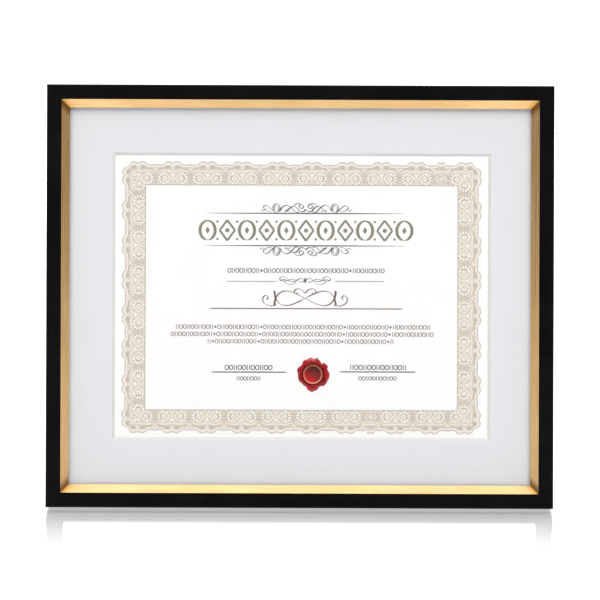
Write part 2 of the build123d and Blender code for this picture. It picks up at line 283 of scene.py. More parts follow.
class Graph:
    """A node graph, built from its first node to its last."""

    def __init__(self, tree: bpy.types.NodeTree) -> None:
        """Empties a node tree.

        Args:
            tree: The tree that the graph fills.
        """
        self.tree = tree
        self.tree.nodes.clear()

    def add(self, kind: str, feeds: Feeds | None = None, **settings: object) -> bpy.types.Node:
        """Adds a node.

        Args:
            kind: The node's type.
            feeds: What goes into its sockets: another node's socket, or a plain value.
            settings: The node's own properties.

        Returns:
            The node.
        """
        node = self.tree.nodes.new(kind)
        for name, value in settings.items():
            setattr(node, name, value)
        for socket, source in (feeds or {}).items():
            if isinstance(source, Socket):
                self.tree.links.new(source, node.inputs[socket])
            else:
                node.inputs[socket].default_value = source
        return node

    def math(self, operation: str, *values: Feed) -> Socket:
        """Works out a sum, product or other operation on plain numbers and returns its socket."""
        return self.add("ShaderNodeMath", dict(enumerate(values)), operation=operation).outputs[0]

    def between(
        self,
        factor: Socket,
        low: float,
        high: float,
        start: float = 0.0,
        end: float = 1.0,
        easing: str = "LINEAR",
    ) -> Socket:
        """Maps a strength from start and end to the values low and high.

        Args:
            factor: The strength.
            low: The value at start.
            high: The value at end.
            start: The strength that gives low.
            end: The strength that gives high.
            easing: How the values between them run.

        Returns:
            The socket that carries the value.
        """
        feeds = {"Value": factor, "From Min": start, "From Max": end, "To Min": low, "To Max": high}
        return self.add("ShaderNodeMapRange", feeds, interpolation_type=easing).outputs["Result"]


class Shading(Graph):
    """The node graph of one material, built from its coordinates to its surface."""

    def __init__(self, name: str) -> None:
        """Starts a new material.

        Args:
            name: The material's name.
        """
        self.material = bpy.data.materials.new(name)
        self.material.use_nodes = True
        super().__init__(self.material.node_tree)

    def place(
        self,
        stretch: Sequence[float] = (1.0, 1.0, 1.0),
        lean: float = 0.0,
        origin: Sequence[float] = (0.0, 0.0, 0.0),
    ) -> Socket:
        """Gives the piece's own coordinates.

        Args:
            stretch: How many times finer the pattern is along X, Y and Z.
            lean: The angle by which a leaning piece is set upright first, in radians.
            origin: The point that becomes the middle, in metres.

        Returns:
            The socket that carries them.
        """
        own = self.add("ShaderNodeTexCoord").outputs["Object"]
        shift = {0: own, 1: tuple(origin)}
        shifted = self.add("ShaderNodeVectorMath", shift, operation="SUBTRACT").outputs[0]
        upright = self.add("ShaderNodeMapping", {"Vector": shifted, "Rotation": (lean, 0.0, 0.0)}).outputs[0]
        return self.add("ShaderNodeMapping", {"Vector": upright, "Scale": tuple(stretch)}).outputs[0]

    def noise(self, where: Socket, scale: float, detail: float = 3.0, roughness: float = 0.55) -> Socket:
        """Adds soft random patches and returns their strength, from 0 to 1.

        Args:
            where: The coordinates.
            scale: Patches to a metre.
            detail: How many finer layers are added.
            roughness: How strong the finer layers are.

        Returns:
            The socket that carries the strength.
        """
        feeds = {"Vector": where, "Scale": scale, "Detail": detail, "Roughness": roughness}
        return self.add("ShaderNodeTexNoise", feeds).outputs["Fac"]

    def cells(self, where: Socket, scale: float, edges: bool = False) -> Socket:
        """Adds random cells.

        Args:
            where: The coordinates.
            scale: Cells to a metre.
            edges: Whether the distance to the edges is wanted, and not to the middles.

        Returns:
            The socket that carries the distance.
        """
        feature = "DISTANCE_TO_EDGE" if edges else "F1"
        node = self.add("ShaderNodeTexVoronoi", {"Vector": where, "Scale": scale}, feature=feature)
        return node.outputs["Distance"]

    def ramp(self, factor: Socket, stops: Sequence[tuple[float, Colour]]) -> Socket:
        """Turns a strength into a colour.

        Args:
            factor: The strength.
            stops: Pairs of strength and colour, in rising order.

        Returns:
            The socket that carries the colour.
        """
        node = self.add("ShaderNodeValToRGB", {"Fac": factor})
        elements = node.color_ramp.elements
        while len(elements) < len(stops):
            elements.new(0.5)
        for element, (position, colour) in zip(elements, stops):
            element.position = position
            element.color = colour
        return node.outputs["Color"]

    def tones(self, factor: Socket, low: Colour, high: Colour) -> Socket:
        """Turns a noise pattern into a mixture of two colours.

        Args:
            factor: The pattern.
            low: The colour where it is weak.
            high: The colour where it is strong.

        Returns:
            The socket that carries the colour.
        """
        return self.ramp(factor, list(zip(NOISE_SPAN, (low, high))))

    def blend(self, first: Feed, share: float, second: Feed, other: float) -> Socket:
        """Adds a share of one strength to a share of another.

        Args:
            first: The first strength.
            share: How much of it is taken.
            second: The second strength.
            other: How much of that is taken.

        Returns:
            The socket that carries the sum.
        """
        return self.math("ADD", self.math("MULTIPLY", first, share), self.math("MULTIPLY", second, other))

    def facing(self, normal: Socket, front: Vector) -> Socket:
        """Gives how squarely a surface looks to the front, from -1 to 1."""
        feeds = {0: normal, 1: tuple(front)}
        return self.add("ShaderNodeVectorMath", feeds, operation="DOT_PRODUCT").outputs["Value"]

    def mix(self, factor: Feed, first: Feed, second: Feed, blend: str = "MIX") -> Socket:
        """Mixes two colours.

        Args:
            factor: How much of the second is taken.
            first: The first colour.
            second: The second colour.
            blend: How they are mixed.

        Returns:
            The socket that carries the mixed colour.
        """
        feeds = {0: factor, 6: first, 7: second}
        return self.add("ShaderNodeMix", feeds, data_type="RGBA", blend_type=blend).outputs[2]

    def bump(self, height: Socket, strength: float, depth: float) -> Socket:
        """Turns a height into a surface direction.

        Args:
            height: The height, from 0 to 1.
            strength: How much of it is used.
            depth: The real depth of the relief, in metres.

        Returns:
            The socket that carries the direction.
        """
        feeds = {"Height": height, "Strength": strength, "Distance": depth}
        return self.add("ShaderNodeBump", feeds).outputs["Normal"]

    def close(self, feeds: Feeds) -> bpy.types.Material:
        """Ends the graph with one ordinary surface.

        Args:
            feeds: What goes into the surface's sockets.

        Returns:
            The finished material.
        """
        surface = self.add("ShaderNodeBsdfPrincipled", feeds).outputs["BSDF"]
        return self.close_with(surface)

    def close_with(self, surface: Socket) -> bpy.types.Material:
        """Ends the graph with a given shader.

        Args:
            surface: The shader's socket.

        Returns:
            The finished material.
        """
        self.add("ShaderNodeOutputMaterial", {"Surface": surface})
        return self.material


class Finish(Protocol):
    """Anything that can make the material of a piece.

    In every finish a pattern is given as its patches to a metre, how many finer layers it
    has and how strong they are; a roughness as its least and greatest value; a relief as
    its strength and its depth in metres; and a stretch as how much finer a pattern is
    along each axis.
    """

    name: str

    def material(self) -> bpy.types.Material:
        """Makes the material."""


class Grain(Enum):
    """Which way the wood of a moulding runs."""

    ACROSS = "across"
    UPRIGHT = "upright"

    def stretch(self, along: float, crosswise: float) -> Triple:
        """Gives the pattern's fineness along X, Y and Z.

        Args:
            along: Its fineness along the grain.
            crosswise: Its fineness across the grain.

        Returns:
            The three values.
        """
        if self is Grain.ACROSS:
            return along, crosswise, crosswise
        return crosswise, crosswise, along


@dataclass(frozen=True)
class SatinLacquer:
    """Black lacquer over close-grained wood, with the grain just showing through."""

    name: str
    grain: Grain
    lean: float
    low: Colour = tint(5, 5, 6)
    high: Colour = tint(12, 10, 13)
    shine: float = 0.17
    stretch: Span = (9, 520)
    pores: Pattern = (1.0, 6, 0.7)
    patches: Pattern = (26, 2)
    peel: Pattern = (900, 2)
    pore_share: float = 0.8
    peel_share: float = 0.2
    roughness: Span = (0.25, 0.34)
    relief: Span = (0.22, 0.00006)

    def material(self) -> bpy.types.Material:
        """Makes the material.

        Returns:
            The material.
        """
        shading = Shading(self.name)
        along = shading.place(self.grain.stretch(*self.stretch), self.lean)
        pores = shading.noise(along, *self.pores)
        round_about = shading.place(lean=self.lean)
        patches = shading.noise(round_about, *self.patches)
        peel = shading.noise(round_about, *self.peel)
        both = shading.blend(pores, self.pore_share, peel, self.peel_share)
        return shading.close({
            "Base Color": shading.tones(pores, self.low, self.high),
            "Roughness": shading.between(patches, *self.roughness, *NOISE_SPAN),
            "Specular IOR Level": self.shine,
            "Normal": shading.bump(both, *self.relief),
        })


@dataclass(frozen=True)
class GiltFinish:
    """Satin gilding on a slip, with fine brush lines along its length and painted shade at its mitres.

    Attributes:
        centre: The middle of the four slips, in metres.
        corner: How far their outer corners lie across and up from it, in metres.
        mitre_shade: Painted shade that stands in for the slips' shadow and gold-on-gold reflection at a
            mitre: what it leaves of the colour there.
        full_shade_at: How far from the mitre the painted shade is full, in metres.
        shade_ends_at: How far from the mitre it ends, in metres.
    """

    name: str
    grain: Grain
    lean: float
    centre: Vector
    corner: Point
    mitre_shade: Colour
    full_shade_at: float
    shade_ends_at: float
    deep: Colour = (0.70, 0.425, 0.165, 1.0)
    pale: Colour = (0.80, 0.54, 0.25, 1.0)
    varnish: float = 0.6
    varnish_roughness: float = 0.2
    line_stretch: Span = (7, 1500)
    lines: Pattern = (1.0, 4, 0.6)
    patch_stretch: Span = (30, 160)
    patches: Pattern = (1.0, 3)
    roughness: Span = (0.24, 0.36)
    relief: Span = (0.12, 0.00003)

    def material(self) -> bpy.types.Material:
        """Makes the material.

        Returns:
            The material.
        """
        shading = Shading(self.name)
        brushed = shading.place(self.grain.stretch(*self.line_stretch), self.lean)
        lines = shading.noise(brushed, *self.lines)
        worn = shading.place(self.grain.stretch(*self.patch_stretch), self.lean)
        patches = shading.noise(worn, *self.patches)
        gilt = shading.ramp(patches, [(0.25, self.deep), (0.75, self.pale)])
        # Painted shade: the gilding darkens towards each mitre, standing in for the shadow and reflection
        # that the slips throw on each other there.
        where = shading.place(lean=self.lean, origin=self.centre)
        own = shading.add("ShaderNodeSeparateXYZ", {0: where}).outputs
        aside = shading.math("SUBTRACT", self.corner[0], shading.math("ABSOLUTE", own["X"]))
        above = shading.math("SUBTRACT", self.corner[1], shading.math("ABSOLUTE", own["Z"]))
        off_mitre = shading.math("ABSOLUTE", shading.math("SUBTRACT", aside, above))
        mitre_shade = shading.between(off_mitre, 1.0, 0.0, self.full_shade_at, self.shade_ends_at)
        return shading.close({
            "Base Color": shading.mix(mitre_shade, gilt, self.mitre_shade, "MULTIPLY"),
            "Metallic": 1.0,
            "Roughness": shading.between(lines, *self.roughness, *NOISE_SPAN),
            "Coat Weight": self.varnish,
            "Coat Roughness": self.varnish_roughness,
            "Normal": shading.bump(lines, *self.relief),
        })


@dataclass(frozen=True)
class ClearGlass:
    """Clear picture glass, whose front mirrors a little; lamps shine through it."""

    name: str
    front: Vector
    smear: Span = (0.02, 0.032)
    strength: float = 0.85
    front_edge: Span = (0.4, 0.6)
    haze: Pattern = (14, 3)
    index: float = 1.5

    def material(self) -> bpy.types.Material:
        """Makes the material.

        Returns:
            The material.
        """
        shading = Shading(self.name)
        clear = shading.add("ShaderNodeBsdfTransparent", {"Color": WHITE}).outputs[0]
        haze = shading.noise(shading.place(), *self.haze)
        mirror = shading.add("ShaderNodeBsdfGlossy", {
            "Color": WHITE,
            "Roughness": shading.between(haze, *self.smear, *NOISE_SPAN),
        }).outputs[0]
        edge = shading.add("ShaderNodeFresnel", {"IOR": self.index}).outputs[0]
        geometry = shading.add("ShaderNodeNewGeometry").outputs
        turned = shading.facing(geometry["True Normal"], self.front)
        outside = shading.math("SUBTRACT", turned, geometry["Backfacing"])
        seen = shading.between(outside, 0.0, self.strength, *self.front_edge)
        share = shading.math("MULTIPLY", edge, seen)
        both = shading.add("ShaderNodeMixShader", {0: share, 1: clear, 2: mirror}).outputs[0]
        return shading.close_with(both)


@dataclass(frozen=True)
class MatBoardFinish:
    """Smooth white mat board with a cream core that shows at the cut bevel, its colour also darkened as
    painted shade on the bevel.
    """

    name: str
    lean: float
    front: Vector
    face: Colour = (0.775, 0.782, 0.815, 1.0)
    # The core's colour is partly painted shade: it is darker than the face to stand in for the shade on the
    # bevel.
    core: Colour = (0.735, 0.725, 0.70, 1.0)
    cloudiness: float = 0.985
    bevel_turn: Span = (0.8, 0.95)
    tooth: Pattern = (1400, 3)
    clouds: Pattern = (40, 3)
    relief: Span = (0.18, 0.00005)

    def material(self) -> bpy.types.Material:
        """Makes the material.

        Returns:
            The material.
        """
        shading = Shading(self.name)
        where = shading.place(lean=self.lean)
        tooth = shading.noise(where, *self.tooth)
        clouds = shading.noise(where, *self.clouds)
        normal = shading.add("ShaderNodeNewGeometry").outputs["True Normal"]
        face = shading.between(shading.facing(normal, self.front), 0.0, 1.0, *self.bevel_turn)
        paper = shading.tones(clouds, shaded(self.face, self.cloudiness), self.face)
        return shading.close({
            "Base Color": shading.mix(face, self.core, paper),
            "Roughness": 0.88,
            "Specular IOR Level": 0.25,
            "Normal": shading.bump(tooth, *self.relief),
        })


@dataclass(frozen=True)
class SheetPaper:
    """Heavy smooth paper with faint fibres."""

    name: str
    lean: float
    colour: Colour = (0.955, 0.95, 0.94, 1.0)
    cloudiness: float = 0.985
    stretch: Triple = (500, 500, 1500)
    fibres: Pattern = (1.0, 4, 0.65)
    clouds: Pattern = (60, 3)
    relief: Span = (0.12, 0.00004)

    def material(self) -> bpy.types.Material:
        """Makes the material.

        Returns:
            The material.
        """
        shading = Shading(self.name)
        fibres = shading.noise(shading.place(self.stretch, self.lean), *self.fibres)
        clouds = shading.noise(shading.place(lean=self.lean), *self.clouds)
        return shading.close({
            "Base Color": shading.tones(clouds, shaded(self.colour, self.cloudiness), self.colour),
            "Roughness": 0.75,
            "Specular IOR Level": 0.3,
            "Normal": shading.bump(fibres, *self.relief),
        })


@dataclass(frozen=True)
class PrintInk:
    """Printing ink, a little uneven where the paper's fibres drink it."""

    name: str
    colour: Colour
    lean: float
    unevenness: float = 0.12
    fibres: Pattern = (700, 4, 0.7)
    roughness: Span = (0.55, 0.75)

    def material(self) -> bpy.types.Material:
        """Makes the material.

        Returns:
            The material.
        """
        shading = Shading(self.name)
        fibres = shading.noise(shading.place(lean=self.lean), *self.fibres)
        light = shaded(self.colour, 1 + self.unevenness / 2)
        dark = shaded(self.colour, 1 - self.unevenness / 2)
        return shading.close({
            "Base Color": shading.tones(fibres, dark, light),
            "Roughness": shading.between(fibres, *self.roughness, *NOISE_SPAN),
            "Specular IOR Level": 0.25,
        })


@dataclass(frozen=True)
class SealingWax:
    """Poured red wax with painted shade in its groove and folds, painted light on its crests, and painted
    shade across the dish in its middle.

    Attributes:
        name: Its name.
        lean: The angle by which the seal leans back.
        centre: The middle of the seal.
        dish: The dish's radius, in metres.
        groove: The radius at which the pressed groove ends.
        red: The wax where it bulges.
        dark: Painted shade: the wax in the groove and in its folds.
        dish_light: The dish at its foot, where its painted shade is lightest.
        dish_middle: The dish in its middle, half way through its painted shade.
        dish_dark: The dish at its head, where its painted shade is darkest.
        slant: How much the dish's shade runs sideways, for each part that it runs up.
        dish_edge: Where the dish's shade starts to fade and ends, as shares of its radius.
        groove_fade: Where the groove's shade ends, as a share of its radius.
        crest_light: The light on the highest wax.
    """

    name: str
    lean: float
    centre: Triple
    dish: float = 0.0058
    groove: float = 0.0078
    red: Colour = (0.42, 0.006, 0.011, 1.0)
    dark: Colour = (0.165, 0.002, 0.004, 1.0)
    dish_light: Colour = (0.60, 0.017, 0.024, 1.0)
    dish_middle: Colour = (0.215, 0.024, 0.020, 1.0)
    dish_dark: Colour = (0.062, 0.019, 0.013, 1.0)
    slant: float = 0.5
    dish_edge: Span = (0.98, 1.06)
    groove_fade: float = 1.2
    crest_light: float = 1.2
    flows: Pattern = (330, 3)
    grit: Pattern = (1800, 3)
    grit_share: float = 0.06
    relief: Span = (0.8, 0.0014)

    def material(self) -> bpy.types.Material:
        """Makes the material.

        Returns:
            The material.
        """
        shading = Shading(self.name)
        where = shading.place(lean=self.lean, origin=self.centre)
        flows = shading.noise(where, *self.flows)
        grit = shading.noise(where, *self.grit)
        parts = shading.add("ShaderNodeSeparateXYZ", {0: where}).outputs
        flat = shading.add("ShaderNodeCombineXYZ", {"X": parts["X"], "Y": parts["Z"]}).outputs[0]
        radius = shading.add("ShaderNodeVectorMath", {0: flat}, operation="LENGTH").outputs["Value"]
        # Painted shade: the dish runs from light at its lower left to dark at its upper right.
        slope = shading.math("ADD", shading.math("MULTIPLY", parts["X"], self.slant), parts["Z"])
        shade = shading.between(slope, 0.0, 1.0, -self.dish, self.dish)
        tones = [(0.0, self.dish_light), (0.5, self.dish_middle), (1.0, self.dish_dark)]
        pressed = shading.ramp(shade, tones)
        # Painted shade and light: the wax darkens where its flow relief dips and lightens on its crests.
        crest = shaded(self.red, self.crest_light)
        fold_shade_and_crest_light = shading.ramp(flows, [(0.36, self.dark), (0.52, self.red), (0.75, crest)])
        # Painted shade: the groove round the rim is dark; the same share sets the coat's weight.
        outer = shading.between(radius, 0.0, 1.0, self.groove, self.groove * self.groove_fade)
        poured = shading.mix(outer, self.dark, fold_shade_and_crest_light)
        inside = shading.between(radius, 1.0, 0.0, *(self.dish * share for share in self.dish_edge))
        waves = shading.math("ADD", shading.math("MULTIPLY", grit, self.grit_share), flows)
        return shading.close({
            "Base Color": shading.mix(inside, poured, pressed),
            "Roughness": 0.6,
            "Specular IOR Level": 0.12,
            "Coat Weight": outer,
            "Coat Roughness": 0.08,
            "Normal": shading.bump(waves, *self.relief),
        })


@dataclass(frozen=True)
class GiltWax:
    """The seal's rim, wax rubbed with gold in random patches, with painted light that makes it brighter
    towards its foot.
    """

    name: str
    lean: float
    centre: Triple
    radius: float
    bright: Colour = (0.74, 0.28, 0.19, 1.0)
    rubbed: Colour = (0.27, 0.075, 0.04, 1.0)
    wear: Pattern = (420, 4, 0.6)
    wear_share: float = 0.45

    def material(self) -> bpy.types.Material:
        """Makes the material.

        Returns:
            The material.
        """
        shading = Shading(self.name)
        where = shading.place(lean=self.lean, origin=self.centre)
        height = shading.add("ShaderNodeSeparateXYZ", {0: where}).outputs["Z"]
        wear = shading.noise(where, *self.wear)
        # Painted light: the rim is brighter towards its foot.
        foot = shading.between(height, 0.75, 0.0, -self.radius, self.radius)
        gold = shading.math("ADD", foot, shading.math("MULTIPLY", wear, self.wear_share))
        return shading.close({
            "Base Color": shading.ramp(gold, [(0.15, self.rubbed), (0.85, self.bright)]),
            "Metallic": shading.between(wear, 0.1, 0.4, 0.35, 0.6),
            "Roughness": 0.36,
        })


@dataclass(frozen=True)
class CrepeTape:
    """Gummed paper tape with a fine crepe."""

    name: str
    lean: float
    colour: Colour = (0.80, 0.76, 0.64, 1.0)
    hollow_shade: float = 0.86
    stretch: Triple = (1600, 1600, 260)
    ridges: Pattern = (1.0, 3)
    relief: Span = (0.3, 0.00006)

    def material(self) -> bpy.types.Material:
        """Makes the material.

        Returns:
            The material.
        """
        shading = Shading(self.name)
        ridges = shading.noise(shading.place(self.stretch, self.lean), *self.ridges)
        return shading.close({
            "Base Color": shading.tones(ridges, shaded(self.colour, self.hollow_shade), self.colour),
            "Roughness": 0.8,
            "Normal": shading.bump(ridges, *self.relief),
        })


@dataclass(frozen=True)
class ChipCard:
    """Grey filler card made from flecked waste paper."""

    name: str
    lean: float
    pale: Colour = (0.47, 0.42, 0.34, 1.0)
    fleck: Colour = (0.20, 0.17, 0.14, 1.0)
    cloud_shade: float = 0.85
    flecks_to_metre: float = 420
    fleck_edge: Span = (0.06, 0.16)
    clouds: Pattern = (110, 4)
    relief: Span = (0.2, 0.00008)

    def material(self) -> bpy.types.Material:
        """Makes the material.

        Returns:
            The material.
        """
        shading = Shading(self.name)
        where = shading.place(lean=self.lean)
        flecks = shading.cells(where, self.flecks_to_metre)
        clouds = shading.noise(where, *self.clouds)
        paper = shading.tones(clouds, shaded(self.pale, self.cloud_shade), self.pale)
        spots = shading.between(flecks, 1.0, 0.0, *self.fleck_edge)
        return shading.close({
            "Base Color": shading.mix(spots, paper, self.fleck),
            "Roughness": 0.85,
            "Normal": shading.bump(clouds, *self.relief),
        })


@dataclass(frozen=True)
class Hardboard:
    """Brown pressed hardboard: matted fibres under a smooth, slightly mottled skin."""

    name: str
    lean: float
    pale: Colour = (0.36, 0.215, 0.118, 1.0)
    deep: Colour = (0.205, 0.112, 0.058, 1.0)
    stained: Colour = (0.80, 0.78, 0.76, 1.0)
    shreds: Pattern = (1300, 5, 0.75)
    mats: Pattern = (240, 4, 0.65)
    shred_share: float = 0.55
    mat_share: float = 0.45
    clouds: Pattern = (18, 4)
    roughness: Span = (0.62, 0.8)
    relief: Span = (0.3, 0.0001)

    def material(self) -> bpy.types.Material:
        """Makes the material.

        Returns:
            The material.
        """
        shading = Shading(self.name)
        where = shading.place(lean=self.lean)
        shreds = shading.noise(where, *self.shreds)
        mats = shading.noise(where, *self.mats)
        fibres = shading.blend(shreds, self.shred_share, mats, self.mat_share)
        clouds = shading.noise(where, *self.clouds)
        wood = shading.ramp(fibres, [(0.38, self.deep), (0.62, self.pale)])
        stain = shading.tones(clouds, self.stained, WHITE)
        return shading.close({
            "Base Color": shading.mix(1.0, wood, stain, "MULTIPLY"),
            "Roughness": shading.between(fibres, *self.roughness, 0.4, 0.7),
            "Normal": shading.bump(fibres, *self.relief),
        })


@dataclass(frozen=True)
class PebbledPaper:
    """Black paper pressed with a fine leather grain, glued over the easel leg."""

    name: str
    low: Colour = (0.010, 0.010, 0.011, 1.0)
    high: Colour = (0.032, 0.031, 0.033, 1.0)
    pebbles_to_metre: float = 950
    pebble_edge: float = 0.28
    rubs: Pattern = (45, 4)
    roughness: Span = (0.48, 0.62)
    relief: Span = (0.7, 0.0002)

    def material(self) -> bpy.types.Material:
        """Makes the material.

        Returns:
            The material.
        """
        shading = Shading(self.name)
        where = shading.place()
        pebbles = shading.cells(where, self.pebbles_to_metre, edges=True)
        soft = shading.between(pebbles, 0.0, 1.0, 0.0, self.pebble_edge)
        rubbed = shading.noise(where, *self.rubs)
        shared = shading.math("MULTIPLY", soft, rubbed)
        return shading.close({
            "Base Color": shading.ramp(shared, [(0.1, self.low), (0.65, self.high)]),
            "Roughness": shading.between(rubbed, *self.roughness, *NOISE_SPAN),
            "Normal": shading.bump(soft, *self.relief),
        })


@dataclass(frozen=True)
class ZincPlate:
    """Bright zinc on pressed steel, with a faint spangle and rub marks."""

    name: str
    pale: Colour = (0.50, 0.51, 0.53, 1.0)
    dull: Colour = (0.33, 0.34, 0.36, 1.0)
    spangles_to_metre: float = 520
    stretch: Triple = (2600, 300, 2600)
    rubs: Pattern = (1.0, 4, 0.7)
    roughness: Span = (0.24, 0.44)
    relief: Span = (0.12, 0.00003)

    def material(self) -> bpy.types.Material:
        """Makes the material.

        Returns:
            The material.
        """
        shading = Shading(self.name)
        where = shading.place()
        spangle = shading.cells(where, self.spangles_to_metre)
        rubs = shading.noise(shading.place(self.stretch), *self.rubs)
        return shading.close({
            "Base Color": shading.ramp(spangle, [(0.1, self.pale), (0.7, self.dull)]),
            "Metallic": 1.0,
            "Roughness": shading.between(rubs, *self.roughness, *NOISE_SPAN),
            "Normal": shading.bump(rubs, *self.relief),
        })


@dataclass(frozen=True)
class BrassPlate:
    """Thin brass plating, brushed along the hanger and a little tarnished."""

    name: str
    bright: Colour = (0.71, 0.47, 0.17, 1.0)
    tarnish: Colour = (0.43, 0.27, 0.09, 1.0)
    stretch: Triple = (40, 2400, 2400)
    brushing: Pattern = (1.0, 4, 0.6)
    spots: Pattern = (210, 5, 0.65)
    roughness: Span = (0.24, 0.4)
    relief: Span = (0.12, 0.00003)

    def material(self) -> bpy.types.Material:
        """Makes the material.

        Returns:
            The material.
        """
        shading = Shading(self.name)
        brushed = shading.noise(shading.place(self.stretch), *self.brushing)
        spots = shading.noise(shading.place(), *self.spots)
        return shading.close({
            "Base Color": shading.ramp(spots, [(0.35, self.tarnish), (0.6, self.bright)]),
            "Metallic": 1.0,
            "Roughness": shading.between(brushed, *self.roughness, *NOISE_SPAN),
            "Normal": shading.bump(brushed, *self.relief),
        })


class Workshop:
    """What every sub-assembly needs: the frame, its face and the making of pieces."""

    def __init__(self, frame: dict[str, Any]) -> None:
        """Finds the face of the frame.
        """
        self.nodes: dict[str, bpy.types.Object] = frame["nodes"]
        mounts = {mount["name"]: mount for mount in frame["record"]["mounts"]}
        self.front = -Vector(mounts["wall_side"]["axis"]).normalized()
        self.sheet = FacePlane.over(self.nodes["certificate"], self.front)
        self.lean = self.sheet.lean
        self.half_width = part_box("bottom_rail")[1].x
        self.made: dict[str, bpy.types.Material] = {}

    def material(self, finish: Finish) -> bpy.types.Material:
        """Makes a finish's material once, and gives the same one after that.

        Args:
            finish: The finish.

        Returns:
            The material.
        """
        if finish.name not in self.made:
            self.made[finish.name] = finish.material()
        return self.made[finish.name]

    def dress(self, finish: Finish, *names: str) -> None:
        """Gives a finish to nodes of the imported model.

        Args:
            finish: The finish.
            names: The nodes.
        """
        for name in names:
            for slot in self.nodes[name].material_slots:
                slot.material = self.material(finish)
            LOG.info("node %s: %s", name, finish.name)

    def piece(
        self,
        name: str,
        vertices: Sequence[Vector],
        faces: Sequence[Sequence[int]],
        finish: Finish,
        slot: str,
        body: str = "frame",
        rounded: bool = False,
    ) -> bpy.types.Object:
        """Makes a new piece that rides on a body.

        Args:
            name: The piece's name.
            vertices: Its corners, in metres.
            faces: The corners of each face.
            finish: Its finish.
            slot: The record's material slot that it belongs to; not used.
            body: The body that carries it.
            rounded: Whether its faces are shaded as one smooth surface.

        Returns:
            The piece.
        """
        mesh = bpy.data.meshes.new(name)
        mesh.from_pydata([tuple(vertex) for vertex in vertices], [], [tuple(face) for face in faces])
        mesh.validate()
        mesh.materials.append(self.material(finish))
        mesh.polygons.foreach_set("use_smooth", [rounded] * len(mesh.polygons))
        piece = bpy.data.objects.new(name, mesh)
        bpy.context.scene.collection.objects.link(piece)
        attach(piece, body)
        LOG.info("piece %s: %d faces, %s", name, len(mesh.polygons), finish.name)
        return piece


class InkLayer:
    """One printing of one ink: flat shapes that lie on the paper as one thin mesh.

    Every shape lies a hair above the one before it, so that two that cross
    never share a plane.
    """

    def __init__(self, plane: FacePlane, level: float, hair: float = 0.0012, turns: int = 16) -> None:
        """Starts an empty layer.

        Args:
            plane: The surface of the sheet.
            level: The layer's height over the sheet, in millimetres.
            hair: The step from one shape to the next, in millimetres.
            turns: How many steps there are before they start again.
        """
        self.plane = plane
        self.level = level
        self.hair = hair
        self.turns = turns
        self.count = 0
        self.vertices: list[Vector] = []
        self.faces: list[tuple[int, ...]] = []

    def _next_height(self) -> float:
        """Gives the height of the next shape."""
        self.count += 1
        return self.level + self.hair * (self.count % self.turns)

    def band(self, first: Sequence[Point], second: Sequence[Point], closed: bool = False) -> None:
        """Fills the strip between two lines with as many points each.

        Args:
            first: One edge.
            second: The other edge.
            closed: Whether the strip's end meets its start.
        """
        height = self._next_height()
        start = len(self.vertices)
        for left, right in zip(first, second):
            self.vertices.append(self.plane.at(left[0], left[1], height))
            self.vertices.append(self.plane.at(right[0], right[1], height))
        count = len(first)
        for index in range(count if closed else count - 1):
            a = start + 2 * index
            b = start + 2 * ((index + 1) % count)
            self.faces.append((a, a + 1, b + 1, b))

    def polygon(self, outline: Sequence[Point]) -> None:
        """Fills an outline that bulges everywhere.

        Args:
            outline: Its points, in order.
        """
        height = self._next_height()
        start = len(self.vertices)
        self.vertices.extend(self.plane.at(x, y, height) for x, y in outline)
        self.faces.append(tuple(range(start, start + len(outline))))

    def stroke(
        self, line: Sequence[Point], widths: Union[float, Sequence[float]], closed: bool = False
    ) -> None:
        """Draws a line with a pen.

        Args:
            line: The middle of the stroke.
            widths: Its width, or one for each point.
            closed: Whether the line's end meets its start.
        """
        count = len(line)
        if count < 2:
            return
        pen = [widths] * count if isinstance(widths, (int, float)) else list(widths)
        left: Path = []
        right: Path = []
        for index, (x, y) in enumerate(line):
            before = line[index - 1] if index or closed else line[index]
            after = line[(index + 1) % count] if index < count - 1 or closed else line[index]
            dx, dy = after[0] - before[0], after[1] - before[1]
            length = math.hypot(dx, dy) or 1.0
            half = pen[index] / 2
            left.append((x - dy / length * half, y + dx / length * half))
            right.append((x + dy / length * half, y - dx / length * half))
        self.band(left, right, closed)

    def pen(self, line: Sequence[Point], thin: float, thick: float, angle: float = 90.0) -> None:
        """Draws a line with a broad pen, thick where it crosses the pen's edge.

        Args:
            line: The middle of the stroke.
            thin: Its least width.
            thick: Its greatest width.
            angle: The direction in which it is thickest, in degrees.
        """
        widths: list[float] = []
        for index in range(len(line)):
            before = line[max(index - 1, 0)]
            after = line[min(index + 1, len(line) - 1)]
            heading = math.atan2(after[1] - before[1], after[0] - before[0])
            swell = abs(math.cos(heading - math.radians(angle)))
            taper = min(1.0, (min(index, len(line) - 1 - index) + 1) / 5)
            widths.append((thin + (thick - thin) * swell**1.5) * taper)
        self.stroke(line, widths)

    def ring(self, centre: Point, radius: float, width: float, steps: int = 28) -> None:
        """Draws a circle."""
        self.stroke(oval(centre, radius, radius, steps=steps)[:-1], width, closed=True)

    def dot(self, centre: Point, radius: float, steps: int = 16) -> None:
        """Fills a circle."""
        self.polygon(oval(centre, radius, radius, steps=steps)[:-1])

    def lozenge(self, centre: Point, across: float, up: float) -> None:
        """Fills a lozenge with the given half width and half height."""
        x, y = centre
        self.polygon([(x + across, y), (x, y + up), (x - across, y), (x, y - up)])

    def make(self, workshop: Workshop, name: str, finish: Finish) -> bpy.types.Object:
        """Turns the layer into a piece of the frame."""
        return workshop.piece(name, self.vertices, self.faces, finish, "printed_paper")


